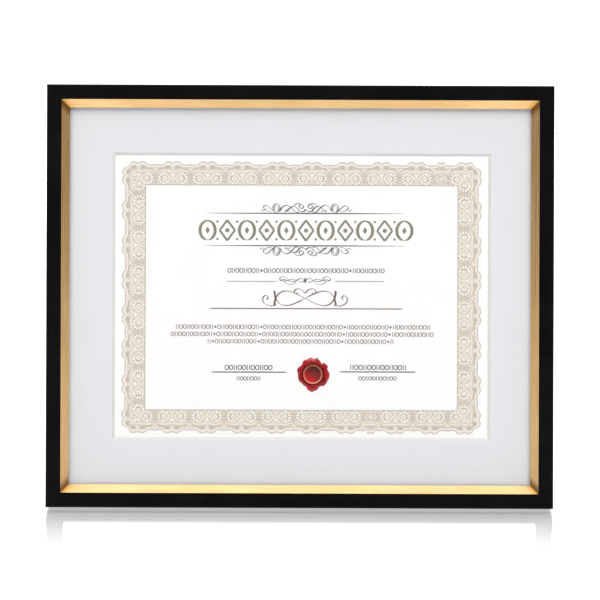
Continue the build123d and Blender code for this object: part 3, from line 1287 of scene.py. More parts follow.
@dataclass
class Mouldings:
    """The four black rails, the four gold slips and the nails that hold the mitres.

    Attributes:
        nails: The nails' node.
        across_mitre_shade: The painted shade at the ends of the slips that lie across.
        upright_mitre_shade: The painted shade at the ends of the upright slips.
        across_shade_reach: How far from the mitre that painted shade is full, and where it ends, in metres.
        upright_shade_reach: The same for the upright slips.
    """

    nails: str = "v_nails"
    across_mitre_shade: Colour = (0.84, 0.68, 0.30, 1.0)
    upright_mitre_shade: Colour = (0.40, 0.28, 0.13, 1.0)
    across_shade_reach: Span = (0.0012, 0.0048)
    upright_shade_reach: Span = (0.0026, 0.0080)

    def dress(self, workshop: Workshop) -> None:
        """Gives the rails their lacquer and the slips their gilding.

        Args:
            workshop: The frame, and what makes its pieces.
        """
        top, left = workshop.nodes["top_slip"], workshop.nodes["left_slip"]
        across, upright = FacePlane.over(top, workshop.front), FacePlane.over(left, workshop.front)
        centre = Vector((across.centre.x, upright.centre.y, upright.centre.z))
        corner = (across.spans(top)[0][1] * MILLIMETRE, upright.spans(left)[1][1] * MILLIMETRE)
        # The mitre colours are painted shade, for the shadow and reflection where two slips meet.
        for grain, sides, mitre_shade, reach in (
            (Grain.ACROSS, ("top", "bottom"), self.across_mitre_shade, self.across_shade_reach),
            (Grain.UPRIGHT, ("left", "right"), self.upright_mitre_shade, self.upright_shade_reach),
        ):
            lacquer = SatinLacquer(f"black_lacquer_{grain.value}", grain, workshop.lean)
            leaf = f"gold_leaf_{grain.value}"
            gilding = GiltFinish(leaf, grain, workshop.lean, centre, corner, mitre_shade, *reach)
            workshop.dress(lacquer, *(f"{side}_rail" for side in sides))
            workshop.dress(gilding, *(f"{side}_slip" for side in sides))
        workshop.dress(ZincPlate("zinc_nails"), self.nails)


@dataclass
class SheetPack:
    """What the rails hold behind the glass: mat board, certificate, tapes, filler and backing."""

    def dress(self, workshop: Workshop) -> None:
        """Gives each sheet its finish.

        Args:
            workshop: The frame, and what makes its pieces.
        """
        workshop.dress(MatBoardFinish("white_mat_board", workshop.lean, workshop.front), "mat_board")
        workshop.dress(SheetPaper("heavy_paper", workshop.lean), "certificate")
        workshop.dress(CrepeTape("gummed_tape", workshop.lean), "hinge_tapes")
        workshop.dress(ChipCard("filler_card", workshop.lean), "filler_board")
        workshop.dress(Hardboard("brown_hardboard", workshop.lean), "backing_board")


@dataclass
class GlassPane:
    """The pane of glass, with its sharp edges ground off.

    Attributes:
        arris: The width of the ground edge, in millimetres.
        rear_gap: How far its back stays off the mat, so that the two never share a plane.
    """

    arris: float = 0.3
    rear_gap: float = 0.05

    def build(self, workshop: Workshop) -> None:
        """Makes the pane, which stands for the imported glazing.

        Args:
            workshop: The frame, and what makes its pieces.
        """
        glazing = workshop.nodes["glazing"]
        plane = FacePlane.over(glazing, workshop.front)
        (_, half_width), (_, half_height), (rear, _) = plane.spans(glazing)
        back = rear + self.rear_gap
        levels = ((0.0, self.arris), (-self.arris, 0.0), (back + self.arris, 0.0), (back, self.arris))
        vertices: list[Vector] = []
        for height, inset in levels:
            x, y = half_width - inset, half_height - inset
            vertices.extend(plane.at(*corner, height) for corner in ((-x, -y), (x, -y), (x, y), (-x, y)))
        faces: list[tuple[int, ...]] = [(0, 1, 2, 3)]
        for level in range(len(levels) - 1):
            for corner in range(4):
                here, there = 4 * level + corner, 4 * level + (corner + 1) % 4
                faces.append((here, here + 4, there + 4, there))
        last = 4 * (len(levels) - 1)
        faces.append((last + 3, last + 2, last + 1, last))
        glass = ClearGlass("clear_glass", workshop.front)
        pane = workshop.piece("glass_pane", vertices, faces, glass, "clear_glass")
        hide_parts("glazing")


class Edge(Enum):
    """A side of the printed border, with the way it runs and the way inwards."""

    TOP = ((-1, 1), (1, 0), (0, -1))
    BOTTOM = ((-1, -1), (1, 0), (0, 1))
    LEFT = ((-1, 1), (0, -1), (1, 0))
    RIGHT = ((1, 1), (0, -1), (-1, 0))

    @property
    def corner(self) -> Point:
        """The corner that the side starts at, as signs of x and y."""
        return self.value[0]

    @property
    def along(self) -> Point:
        """The direction of the run."""
        return self.value[1]

    @property
    def inward(self) -> Point:
        """The direction towards the middle of the sheet."""
        return self.value[2]


@dataclass(frozen=True)
class Lobe:
    """One scallop of the lace.

    Attributes:
        middle: Its middle, along the side.
        half: Its half width.
        start: Where the lace belongs to it from, along the side.
        end: Where the lace belongs to it to, along the side.
    """

    middle: float
    half: float
    start: float
    end: float


@dataclass
class LaceSide:
    """One side of the lace border: its lobes, and the way from the lace to the sheet.

    Attributes:
        edge: Which side it is.
        half_width: Half the border's outer width.
        half_height: Half the border's outer height.
        centre: The border's middle on the sheet.
        lobes: Its lobes, in order.
        overlap: How far a line goes past the mitre, so that two sides meet.
    """

    edge: Edge
    half_width: float
    half_height: float
    centre: Point
    lobes: list[Lobe] = field(default_factory=list)
    overlap: float = 0.02

    @property
    def length(self) -> float:
        """The side's length."""
        return 2 * (self.half_width if self.edge.along[0] else self.half_height)

    def point(self, run: float, depth: float) -> Point:
        """Finds a point of the sheet.

        Args:
            run: The distance along the side.
            depth: The distance inwards from the border's outer line.

        Returns:
            The point.
        """
        corner, along, inward = self.edge.corner, self.edge.along, self.edge.inward
        x = self.centre[0] + corner[0] * self.half_width + along[0] * run + inward[0] * depth
        y = self.centre[1] + corner[1] * self.half_height + along[1] * run + inward[1] * depth
        return x, y

    def room(self, run: float) -> float:
        """Gives the depth at which the mitre stands, at a distance along the side."""
        return min(run, self.length - run)

    def runs(self, line: Iterable[Point]) -> list[Path]:
        """Cuts a line at the mitres.

        Args:
            line: Pairs of run and depth.

        Returns:
            The parts that belong to this side, as points of the sheet.
        """
        parts: list[Path] = [[]]
        for run, depth in line:
            if depth <= self.room(run) + self.overlap:
                parts[-1].append(self.point(run, depth))
            elif parts[-1]:
                parts.append([])
        return [part for part in parts if len(part) > 1]


@dataclass
class LaceBorder:
    """The traditional lace border that is printed round the sheet, in five layers of ink.

    Figures of a lobe are given for its right half, as distances from its middle and depths
    from the border's outer line, and are printed on both sides of the middle. A patch is an
    oval, given as its middle and its half sizes.
    """

    half_width: float = 128.15
    half_height: float = 96.9
    centre: Point = (0.05, -0.8)
    depth: float = 16.6
    lobe_run: float = 24.85
    narrow_run: float = 10.35
    corner_half: float = 12.15
    corner_radius: float = 8.6
    crest: float = 0.28
    flank: float = 0.19
    dip: float = 1.15
    valley: float = 2.4
    notch_start: float = 0.75
    notch_rise: float = 0.35
    eye_run: float = 6.2
    eye_depth: float = 12.0
    eye_pupil: float = 0.5
    eye_light: float = 1.3
    eye_ring: float = 1.95
    eye_turn: float = 62.0
    petals: int = 6
    petal_reach: float = 3.55
    petal_long: float = 1.2
    petal_wide: float = 0.64
    petal_step: float = 30.0
    petal_gap: float = 0.32
    petal_room: float = 0.4
    fan_rim: float = 4.8
    eye_room: float = 2.5
    corner_eye: float = 8.9
    net_swing: float = 3.0
    level: float = 0.03
    hairline: float = 0.25
    ring_width: float = 0.6
    outer_width: float = 0.36
    inner_width: float = 0.5
    net_width: float = 0.24
    second_line: Span = (2.0, 0.22)
    light_line: Span = (1.35, 0.5)
    light_arch: Span = (-0.4, 0.42)
    light_hollow: Span = (0.7, 0.5)
    fineness: int = 44
    top_lobes: int = 8
    low_lobes: int = 6
    side_lobes: int = 6
    arch_outer: tuple[Point, ...] = (
        (0.0, 3.5), (0.28, 2.3), (0.58, 3.7), (0.82, 4.2), (0.97, 6.6), (1.0, 7.4),
    )
    arch_inner: tuple[Point, ...] = ((0.0, 5.7), (0.25, 5.9), (0.6, 5.6), (0.85, 6.3), (1.0, 8.2))
    light_figures: tuple[tuple[float, tuple[Point, ...]], ...] = (
        (0.45, ((0.0, 6.7), (2.6, 6.5), (6.0, 6.3), (9.6, 7.3))),
        (0.6, ((6.6, 8.2), (3.8, 9.5), (1.9, 12.0), (3.8, 14.5), (6.2, 15.8))),
        (0.4, ((3.0, 7.6), (0.9, 9.3), (0.5, 12.4), (1.4, 15.8))),
    )
    dark_patches: tuple[Patch, ...] = (
        ((3.0, 8.9), (1.3, 0.75)), ((1.8, 13.9), (0.8, 1.1)), ((4.6, 16.1), (1.6, 0.35)),
    )
    brow_patch: Patch = ((3.3, 4.1), (1.5, 0.5))
    light_patches: tuple[Patch, ...] = (((0.0, 9.4), (0.75, 0.75)), ((0.0, 4.4), (1.35, 0.95)))
    bud_patch: Patch = ((0.0, 4.4), (0.7, 0.4))
    valley_blocks: tuple[tuple[Point, ...], ...] = (
        ((0.3, 7.3), (0.9, 8.7), (1.55, 10.0), (1.3, 10.9), (0.2, 11.6)),
        ((0.2, 12.8), (1.2, 13.6), (1.2, 14.6), (0.6, 15.9)),
    )
    ground_colour: Colour = tint(225, 217, 205)
    arch_colour: Colour = tint(210, 201, 186)
    line_colour: Colour = tint(189, 179, 163)
    light_colour: Colour = tint(250, 246, 239)

    def sides(self) -> list[LaceSide]:
        """Lays out the lobes of the four sides.

        Returns:
            The sides, each with its lobes.
        """
        found: list[LaceSide] = []
        for edge in Edge:
            side = LaceSide(edge, self.half_width, self.half_height, self.centre)
            first = {Edge.TOP: self.top_lobes, Edge.BOTTOM: self.low_lobes}.get(edge, self.side_lobes)
            narrow = self.narrow_run if edge.along[0] else 0.0
            second = self.top_lobes - first if narrow else 0
            corner = (side.length - (first + second) * self.lobe_run - narrow) / 2
            widths = [self.lobe_run] * first + ([narrow] if narrow else []) + [self.lobe_run] * second
            side.lobes.append(Lobe(corner - self.corner_half, self.corner_half, 0.0, corner))
            place = corner
            for width in widths:
                side.lobes.append(Lobe(place + width / 2, width / 2, place, place + width))
                place += width
            side.lobes.append(Lobe(place + self.corner_half, self.corner_half, place, side.length))
            found.append(side)
        return found

    def rounded(self, side: LaceSide, run: float, depth: float) -> float:
        """Carries a depth round the corner in an arc.

        Args:
            side: The side.
            run: The distance along it.
            depth: The depth that the line has away from the corner.

        Returns:
            The depth, deeper near the corner.
        """
        near = self.corner_radius - side.room(run)
        if near <= 0:
            return depth
        reach = max(self.corner_radius - depth, 0.0)
        return max(depth, self.corner_radius - math.sqrt(max(reach**2 - near**2, 0.0)))

    def scallop(self, share: float) -> float:
        """Gives the depth of the outer line.

        Args:
            share: The place, as a share of the lobe's half width.

        Returns:
            The depth.
        """
        reach = self.crest if abs(share) < self.crest else self.flank
        bump = self.dip * ((abs(share) - self.crest) / reach) ** 2
        notch = max(0.0, abs(share) - self.notch_start) / (1 - self.notch_start)
        return min(self.valley - self.notch_rise * notch, bump)

    def line(self, side: LaceSide, lobe: Lobe, depth_at: DepthRule) -> Path:
        """Follows a depth along one lobe.

        Args:
            side: The side.
            lobe: The lobe.
            depth_at: Gives the depth at a share of the lobe's half width.

        Returns:
            Pairs of run and depth.
        """
        found: Path = []
        for step in range(self.fineness + 1):
            run = lobe.start + (lobe.end - lobe.start) * step / self.fineness
            share = (run - lobe.middle) / lobe.half
            found.append((run, self.rounded(side, run, depth_at(share))))
        return found

    def fill(self, layer: InkLayer, side: LaceSide, outer: Path, inner: Path) -> None:
        """Fills the strip between two lines of a side, cut at the mitres.

        Args:
            layer: The ink.
            side: The side.
            outer: The outer line, as pairs of run and depth.
            inner: The inner line, with as many points.
        """
        first = [side.point(run, min(depth, side.room(run))) for run, depth in outer]
        second = [side.point(run, min(depth, side.room(run))) for run, depth in inner]
        layer.band(first, second)

    def draw(self, layer: InkLayer, side: LaceSide, line: Path, width: float) -> None:
        """Draws a line of a side, cut at the mitres."""
        for part in side.runs(line):
            layer.stroke(part, width)

    def figure(
        self, layer: InkLayer, side: LaceSide, lobe: Lobe, points: Sequence[Point], width: float
    ) -> None:
        """Draws a smooth line on both halves of a lobe.

        Args:
            layer: The ink.
            side: The side.
            lobe: The lobe.
            points: Where the line passes, on the right half.
            width: Its width.
        """
        for sign in (1, -1):
            line = [(lobe.middle + sign * run, depth) for run, depth in smooth_line(points, 10)]
            self.draw(layer, side, line, width)

    def narrow(self, lobe: Lobe) -> bool:
        """Says whether a lobe is too narrow for two eyes."""
        return lobe.half < self.lobe_run / 3

    def patch(self, layer: InkLayer, side: LaceSide, lobe: Lobe, shape: Patch, sign: int = 1) -> None:
        """Fills an oval of a lobe, where it clears the mitre.

        Args:
            layer: The ink.
            side: The side.
            lobe: The lobe.
            shape: The oval's middle and its half sizes.
            sign: 1 for the right half of the lobe and -1 for the left.
        """
        (run, depth), sizes = shape
        outline = oval((lobe.middle + sign * run, depth), *sizes, steps=14)[:-1]
        if all(inward < side.room(along) for along, inward in outline):
            layer.polygon([side.point(along, inward) for along, inward in outline])

    def print_ground(self, layer: InkLayer, side: LaceSide, lobe: Lobe) -> None:
        """Prints the pale ground of a lobe.

        Args:
            layer: The ink.
            side: The side.
            lobe: The lobe.
        """
        outer = self.line(side, lobe, self.scallop)
        inner = self.line(side, lobe, lambda share: self.depth)
        self.fill(layer, side, outer, inner)

    def print_crescent(self, layer: InkLayer, side: LaceSide, lobe: Lobe) -> None:
        """Prints the dark crescent of a lobe and the dark figures under it.

        Args:
            layer: The ink.
            side: The side.
            lobe: The lobe.
        """
        outer = self.line(side, lobe, lambda share: follow(self.arch_outer, abs(share)))
        inner = self.line(side, lobe, lambda share: follow(self.arch_inner, abs(share)))
        self.fill(layer, side, outer, inner)
        for outline in self.valley_blocks if lobe.start > 0 else ():
            first = [side.point(lobe.start + run, depth) for run, depth in outline]
            second = [side.point(lobe.start - run, depth) for run, depth in outline]
            layer.band(first, second)
        if self.narrow(lobe):
            return
        for sign in (1, -1):
            for shape in self.dark_patches:
                self.patch(layer, side, lobe, shape, sign)

    def print_fine_lines(self, layer: InkLayer, side: LaceSide, lobe: Lobe) -> None:
        """Prints the outer line, the inner line and the fine dark network of a lobe.

        Args:
            layer: The ink.
            side: The side.
            lobe: The lobe.
        """
        inset, width = self.second_line
        self.draw(layer, side, self.line(side, lobe, self.scallop), self.outer_width)
        self.draw(layer, side, self.line(side, lobe, lambda share: self.depth), self.inner_width)
        self.draw(layer, side, self.line(side, lobe, lambda share: self.scallop(share) + inset), width)
        for sign in (1, -1):
            net = self.line(
                side, lobe, lambda share: self.eye_depth + sign * self.net_swing * math.sin(math.pi * share)
            )
            self.draw(layer, side, net, self.net_width)
            if not self.narrow(lobe):
                self.patch(layer, side, lobe, self.brow_patch, sign)

    def print_light_lines(self, layer: InkLayer, side: LaceSide, lobe: Lobe) -> None:
        """Prints the light lines that outline the crescent and fan out round the eyes.

        Args:
            layer: The ink.
            side: The side.
            lobe: The lobe.
        """
        inset, width = self.light_line
        self.draw(layer, side, self.line(side, lobe, lambda share: self.scallop(share) + inset), width)
        rise, width = self.light_arch
        arch = self.line(side, lobe, lambda share: follow(self.arch_outer, abs(share)) + rise)
        self.draw(layer, side, arch, width)
        if self.narrow(lobe):
            drop, width = self.light_hollow
            hollow = self.line(side, lobe, lambda share: follow(self.arch_inner, abs(share)) + drop)
            self.draw(layer, side, hollow, width)
            return
        for width, points in self.light_figures:
            self.figure(layer, side, lobe, points, width)
        for shape in self.light_patches:
            self.patch(layer, side, lobe, shape)

    def arc(self, layer: InkLayer, side: LaceSide, bend: Path, width: float) -> None:
        """Draws a curve whose points are given as run and depth."""
        layer.stroke([side.point(run, min(depth, self.depth)) for run, depth in bend], width)

    def petal(self, layer: InkLayer, side: LaceSide, place: Point, way: float) -> None:
        """Fills one petal that points away from a place, in the direction way.

        Args:
            layer: The ink.
            side: The side.
            place: The place's run and depth.
            way: The direction, in degrees from the run towards the depth.
        """
        outline: Path = []
        for out, aside in oval((self.petal_reach, 0.0), self.petal_long, self.petal_wide, steps=12)[:-1]:
            run, depth = turned(place, way, out, aside)
            outline.append(side.point(run, min(depth, self.depth - self.petal_room)))
        layer.polygon(outline)

    def gap(self, layer: InkLayer, side: LaceSide, place: Point, way: float) -> None:
        """Draws the short dark line between two petals."""
        line = [turned(place, way, out) for out in (self.eye_ring, self.fan_rim)]
        self.arc(layer, side, line, self.petal_gap)

    def print_eye(
        self, dark: InkLayer, light: InkLayer, side: LaceSide, place: Point, way: float, petals: int
    ) -> None:
        """Prints one eye with the fan of petals beside it.

        Args:
            dark: The dark ink.
            light: The light ink.
            side: The side.
            place: The eye's run and depth.
            way: The direction in which its fan opens, in degrees from the run towards the depth.
            petals: How many petals the fan has.
        """
        light.dot(side.point(*place), self.eye_light, 20)
        dark.dot(side.point(*place), self.eye_pupil, 12)
        if not petals:
            dark.ring(side.point(*place), self.eye_ring, self.hairline)
            return
        radius, rim, turn = self.eye_ring, self.fan_rim, self.eye_turn
        self.arc(dark, side, oval(place, radius, radius, way - turn, way + turn, 16), self.ring_width)
        self.arc(dark, side, oval(place, rim, rim, way - 90, way + 90, 20), self.hairline)
        for petal in range(petals):
            heading = way + (petal - (petals - 1) / 2) * self.petal_step
            self.petal(light, side, place, heading)
            if petal:
                self.gap(dark, side, place, heading - self.petal_step / 2)

    def print_eyes(self, dark: InkLayer, light: InkLayer, side: LaceSide, lobe: Lobe) -> None:
        """Prints the eyes of a lobe and the small dark dot in its crescent.

        Args:
            dark: The dark ink.
            light: The light ink.
            side: The side.
            lobe: The lobe.
        """
        self.patch(dark, side, lobe, self.bud_patch)
        if self.narrow(lobe):
            self.print_eye(dark, light, side, (lobe.middle, self.eye_depth), 0.0, 0)
            return
        for run, way in ((-self.eye_run, 180.0), (self.eye_run, 0.0)):
            place = (lobe.middle + run, self.eye_depth)
            if side.room(place[0]) > self.eye_depth + self.eye_room:
                self.print_eye(dark, light, side, place, way, self.petals)

    def build(self, workshop: Workshop) -> None:
        """Makes the five layers of the border.

        Args:
            workshop: The frame, and what makes its pieces.
        """
        ground, crescents, fine, light, eyes = (
            InkLayer(workshop.sheet, self.level * (number + 1)) for number in range(5)
        )
        corner = self.corner_eye
        for side in self.sides():
            for lobe in side.lobes:
                self.print_ground(ground, side, lobe)
                self.print_crescent(crescents, side, lobe)
                self.print_fine_lines(fine, side, lobe)
                self.print_light_lines(light, side, lobe)
                self.print_eyes(eyes, light, side, lobe)
            if side.edge in (Edge.TOP, Edge.BOTTOM):
                self.print_eye(eyes, light, side, (corner, corner), 225.0, 0)
                self.print_eye(eyes, light, side, (side.length - corner, corner), 315.0, 0)
        layers = (
            ("lace_ground", ground, self.ground_colour), ("lace_crescents", crescents, self.arch_colour),
            ("lace_fine_lines", fine, self.line_colour), ("lace_light_lines", light, self.light_colour),
            ("lace_eyes", eyes, self.line_colour),
        )
        for name, layer, colour in layers:
            layer.make(workshop, name, PrintInk(f"{name}_ink", colour, workshop.lean))


@dataclass
class Heading:
    """The ornamental band at the head of the sheet, with its rules and scrolls."""

    centre: Point = (3.1, 47.2)
    motifs: int = 11
    pitch: float = 14.05
    height: float = 14.6
    motif_half: float = 5.4
    line_width: float = 1.5
    oval_inset: float = 0.5
    oval_widths: Span = (1.0, 2.2)
    oval_bud: Span = (1.6, 2.6)
    corner_bud: Span = (1.0, 1.1)
    rule_half: float = 71.5
    rule_widths: Span = (0.08, 0.8)
    band_level: float = 0.05
    scroll_level: float = 0.08
    scroll_rise: float = 0.3
    pen_angle: float = 60.0
    upper_rule: Point = (2.9, 59.4)
    lower_rule: Point = (3.0, 36.3)
    band_colour: Colour = tint(139, 135, 118)
    rule_colour: Colour = tint(96, 96, 100)

    def print_motifs(self, layer: InkLayer) -> None:
        """Prints the band: roundels and lozenges in turn, with small buds between them.

        Args:
            layer: The ink.
        """
        half = self.height / 2
        for index in range(self.motifs):
            x = self.centre[0] + (index - (self.motifs - 1) / 2) * self.pitch
            middle = (x, self.centre[1])
            aside = self.motif_half
            if index % 2:
                y = middle[1]
                corners = [(x + aside, y), (x, y + half), (x - aside, y), (x, y - half)]
                for start, end in zip(corners, corners[1:] + corners[:1]):
                    line = [
                        (start[0] + (end[0] - start[0]) * step / 8, start[1] + (end[1] - start[1]) * step / 8)
                        for step in range(9)
                    ]
                    layer.stroke(line, self.line_width)
                layer.dot(middle, self.line_width)
            else:
                outline = oval(middle, aside, half - self.oval_inset, -90, 270, 64)
                layer.pen(outline, *self.oval_widths)
                layer.lozenge(middle, *self.oval_bud)
            if index:
                for sign in (1, -1):
                    height = middle[1] + sign * (half - self.corner_bud[1])
                    layer.lozenge((x - self.pitch / 2, height), *self.corner_bud)

    def print_rule(self, layer: InkLayer, centre: Point) -> None:
        """Prints a rule that swells in its middle and fades to points.

        Args:
            layer: The ink.
            centre: Its middle.
        """
        steps = 40
        least, swell = self.rule_widths
        start, length = centre[0] - self.rule_half, 2 * self.rule_half
        line = [(start + length * step / steps, centre[1]) for step in range(steps + 1)]
        widths = [least + swell * math.sin(math.pi * step / steps) ** 0.7 for step in range(steps + 1)]
        layer.stroke(line, widths)

    def scroll_lines(self) -> list[tuple[Path, float, float]]:
        """Draws the right half of the scroll over a rule.

        Returns:
            Its lines, each with the pen's least and greatest width.
        """
        loop = oval((20.9, 3.4), 2.5, 3.1, -100, 250)
        inner = oval((20.9, 3.1), 1.5, 2.0, -60, 280)
        tendril = smooth_line([(18.6, 1.0), (16.4, 4.4), (13.0, 5.4), (9.6, 3.0), (7.4, 0.7), (4.6, 0.8)])
        second = smooth_line([
            (22.4, 0.9), (24.6, 2.6), (26.6, 4.7), (28.9, 5.2), (30.4, 4.0), (29.6, 2.6), (28.3, 3.1),
        ])
        leaf = smooth_line([(24.2, 0.8), (26.6, 1.0), (29.0, 2.0), (31.2, 1.4), (32.6, 2.6)])
        sweep = smooth_line([
            (15.2, 0.7), (12.4, 2.6), (9.4, 4.6), (6.6, 4.0), (4.2, 1.4), (1.6, 1.2), (0.0, 2.6),
        ])
        curl = smooth_line([
            (8.4, 5.4), (6.2, 6.6), (3.6, 6.5), (1.6, 5.0), (2.4, 3.3), (4.3, 3.6), (4.6, 5.2), (3.4, 5.8),
        ])
        bud = smooth_line([(10.8, 0.8), (12.2, 1.6), (13.8, 1.2), (14.8, 2.2)])
        return [
            (loop, 0.34, 0.8), (inner, 0.22, 0.5), (tendril, 0.3, 0.85), (second, 0.28, 0.75),
            (leaf, 0.22, 0.5), (sweep, 0.34, 1.0), (curl, 0.3, 0.8), (bud, 0.22, 0.5),
        ]

    def print_scroll(self, layer: InkLayer, rule: Point, sign: float) -> None:
        """Prints a scroll at a rule.

        Args:
            layer: The ink.
            rule: The rule's middle.
            sign: 1 where it stands on the rule, and -1 where it hangs from it.
        """
        foot = (rule[0], rule[1] + self.scroll_rise * sign)
        for line, thin, thick in self.scroll_lines():
            for half in (line, mirrored(line)):
                layer.pen(moved(half, foot, sign), thin, thick, self.pen_angle)

    def build(self, workshop: Workshop) -> None:
        """Makes the band, the rules and the scrolls.

        Args:
            workshop: The frame, and what makes its pieces.
        """
        band = InkLayer(workshop.sheet, self.band_level)
        self.print_motifs(band)
        band.make(workshop, "heading_band", PrintInk("heading_ink", self.band_colour, workshop.lean))
        rules = InkLayer(workshop.sheet, self.band_level)
        scrolls = InkLayer(workshop.sheet, self.scroll_level)
        for rule, sign in ((self.upper_rule, 1.0), (self.lower_rule, -1.0)):
            self.print_rule(rules, rule)
            self.print_scroll(scrolls, rule, sign)
        ink = PrintInk("rule_ink", self.rule_colour, workshop.lean)
        rules.make(workshop, "heading_rules", ink)
        scrolls.make(workshop, "heading_scrolls", ink)


@dataclass(frozen=True)
class BeadRow:
    """A row of beads and reels in the place of a line of small print.

    Attributes:
        centre: The row's middle.
        width: Its length.
        height: The height of its reels.
        pitch_share: The step from one ornament to the next, as a share of the height.
        group: How many ornaments a group has: the beads and one pair of reels.
        groups: How many groups there are from one lozenge to the next.
    """

    centre: Point
    width: float
    height: float
    pitch_share: float = 0.8
    group: int = 3
    groups: int = 4
    lozenge_share: float = 0.6
    bead_shares: Span = (0.66, 0.8)
    bead_line: float = 0.16
    reel_shift: float = 0.42
    reel_line: float = 0.14

    def print(self, layer: InkLayer) -> None:
        """Prints the row: beads, then a pair of reels, with a lozenge after every few groups.

        Args:
            layer: The ink.
        """
        pitch = self.height * self.pitch_share
        count = int(self.width / pitch)
        count -= 1 - count % 2
        half = self.height / 2
        for index in range(count):
            x = self.centre[0] + (index - (count - 1) / 2) * pitch
            y = self.centre[1]
            turn = abs(index - (count - 1) // 2)
            if (turn + 1) % (self.group * self.groups) == 0:
                layer.lozenge((x, y), half * self.lozenge_share, half * self.lozenge_share)
            elif turn % self.group == 0:
                for shift in (-self.reel_shift * half, self.reel_shift * half):
                    layer.stroke([(x + shift, y - half), (x + shift, y + half)], self.height * self.reel_line)
            else:
                across, up = self.bead_shares
                bead = oval((x, y), half * across, half * up, steps=14)[:-1]
                layer.stroke(bead, self.height * self.bead_line, closed=True)


@dataclass
class SmallPrint:
    """The rows, rules and flourishes that fill the sheet below its heading."""

    caption: BeadRow = BeadRow((3.2, 18.55), 116.0, 3.6)
    short_rules: tuple[Rule, ...] = (((-35.5, 10.8), 36.8), ((41.4, 11.05), 36.4))
    knot_centre: Point = (2.6, 11.6)
    name_centre: Point = (2.6, -1.2)
    name_rule: Rule = ((3.3, -8.6), 138.5)
    body_rows: tuple[BeadRow, ...] = (
        BeadRow((1.2, -21.7), 187.0, 3.4),
        BeadRow((0.5, -26.85), 192.8, 3.4),
        BeadRow((-0.5, -32.0), 133.5, 3.4),
    )
    sign_rules: tuple[Rule, ...] = (((-37.2, -54.0), 54.3), ((54.5, -53.6), 55.0))
    sign_rows: tuple[BeadRow, ...] = (
        BeadRow((-37.6, -50.7), 36.4, 3.9), BeadRow((54.9, -50.4), 44.3, 3.9),
        BeadRow((-37.5, -58.5), 22.1, 3.1), BeadRow((54.5, -58.2), 32.1, 3.1),
    )
    short_rule_width: float = 0.42
    name_rule_width: float = 0.76
    sign_rule_width: float = 0.8
    point_width: float = 0.1
    point_run: float = 2.0
    knot_thin: float = 0.25
    knot_angle: float = 60.0
    knot_bud: Span = (1.2, 2.2)
    name_angle: float = 62.0
    loop_widths: Span = (0.42, 1.1)
    tail_widths: Span = (0.38, 0.95)
    level: float = 0.05
    grey: Colour = tint(106, 106, 110)
    maroon: Colour = tint(132, 108, 110)
    mauve: Colour = tint(138, 117, 120)
    slate: Colour = tint(84, 86, 94)

    def print_rule(self, layer: InkLayer, rule: Rule, width: float) -> None:
        """Prints a plain rule with pointed ends.

        Args:
            layer: The ink.
            rule: Its middle and its length.
            width: Its width.
        """
        (x, y), length = rule
        half = length / 2
        run = half - self.point_run
        line = [(x - half, y), (x - run, y), (x + run, y), (x + half, y)]
        layer.stroke(line, [self.point_width, width, width, self.point_width])

    def print_knot(self, layer: InkLayer, centre: Point) -> None:
        """Prints the small knotted flourish between the two short rules.

        Args:
            layer: The ink.
            centre: Its middle.
        """
        steps = 90
        braid = [
            (18.4 * step / steps, 1.5 * math.sin(step / steps * 3 * math.pi) * (1 - step / 110))
            for step in range(steps + 1)
        ]
        under = [(x, -y) for x, y in braid]
        curl = smooth_line([(12.0, 0.6), (14.4, 2.4), (17.0, 2.4), (18.2, 1.0), (17.2, -0.2), (15.9, 0.6)])
        drop = smooth_line([(6.0, -1.0), (9.0, -2.7), (12.6, -2.6), (14.6, -1.2), (13.4, -0.2)])
        for line, thick in ((braid, 0.8), (under, 0.6), (curl, 0.6), (drop, 0.5)):
            for half in (line, mirrored(line)):
                layer.pen(moved(half, centre), self.knot_thin, thick, self.knot_angle)
        layer.lozenge(centre, *self.knot_bud)

    def print_name_flourish(self, layer: InkLayer, centre: Point) -> None:
        """Prints the large open flourish over the long rule.

        Args:
            layer: The ink.
            centre: Its middle.
        """
        steps = 240
        loops = []
        for step in range(steps + 1):
            angle = 2 * math.pi * step / steps
            loops.append((25.5 * math.sin(angle) + 4.2 * math.sin(3 * angle), 5.2 * math.sin(4 * angle)))
        layer.pen(moved(loops, centre), *self.loop_widths, self.name_angle)
        tail = smooth_line([
            (20.0, -4.6), (25.0, -5.4), (29.4, -3.2), (30.0, 0.6), (27.6, 2.0), (26.4, 0.2), (27.8, -1.2),
        ])
        crown = smooth_line([(0.0, 3.4), (2.6, 6.2), (6.2, 6.6), (7.8, 4.4), (6.2, 3.0), (5.0, 4.2)])
        for line in (tail, crown):
            for half in (line, mirrored(line)):
                layer.pen(moved(half, centre), *self.tail_widths, self.name_angle)

    def build(self, workshop: Workshop) -> None:
        """Makes the rows, rules and flourishes, one piece for each ink and kind.

        Args:
            workshop: The frame, and what makes its pieces.
        """
        plane = workshop.sheet
        grey = PrintInk("caption_ink", self.grey, workshop.lean)
        maroon = PrintInk("maroon_ink", self.maroon, workshop.lean)
        mauve = PrintInk("mauve_ink", self.mauve, workshop.lean)
        slate = PrintInk("slate_ink", self.slate, workshop.lean)
        caption = InkLayer(plane, self.level)
        self.caption.print(caption)
        caption.make(workshop, "caption_row", grey)
        middle = InkLayer(plane, self.level)
        for rule in self.short_rules:
            self.print_rule(middle, rule, self.short_rule_width)
        self.print_knot(middle, self.knot_centre)
        middle.make(workshop, "middle_flourish", grey)
        name = InkLayer(plane, self.level)
        self.print_name_flourish(name, self.name_centre)
        self.print_rule(name, self.name_rule, self.name_rule_width)
        name.make(workshop, "name_flourish", maroon)
        body = InkLayer(plane, self.level)
        for row in self.body_rows:
            row.print(body)
        body.make(workshop, "body_rows", mauve)
        signs = InkLayer(plane, self.level)
        for rule in self.sign_rules:
            self.print_rule(signs, rule, self.sign_rule_width)
        for row in self.sign_rows:
            row.print(signs)
        signs.make(workshop, "signing_rows", slate)


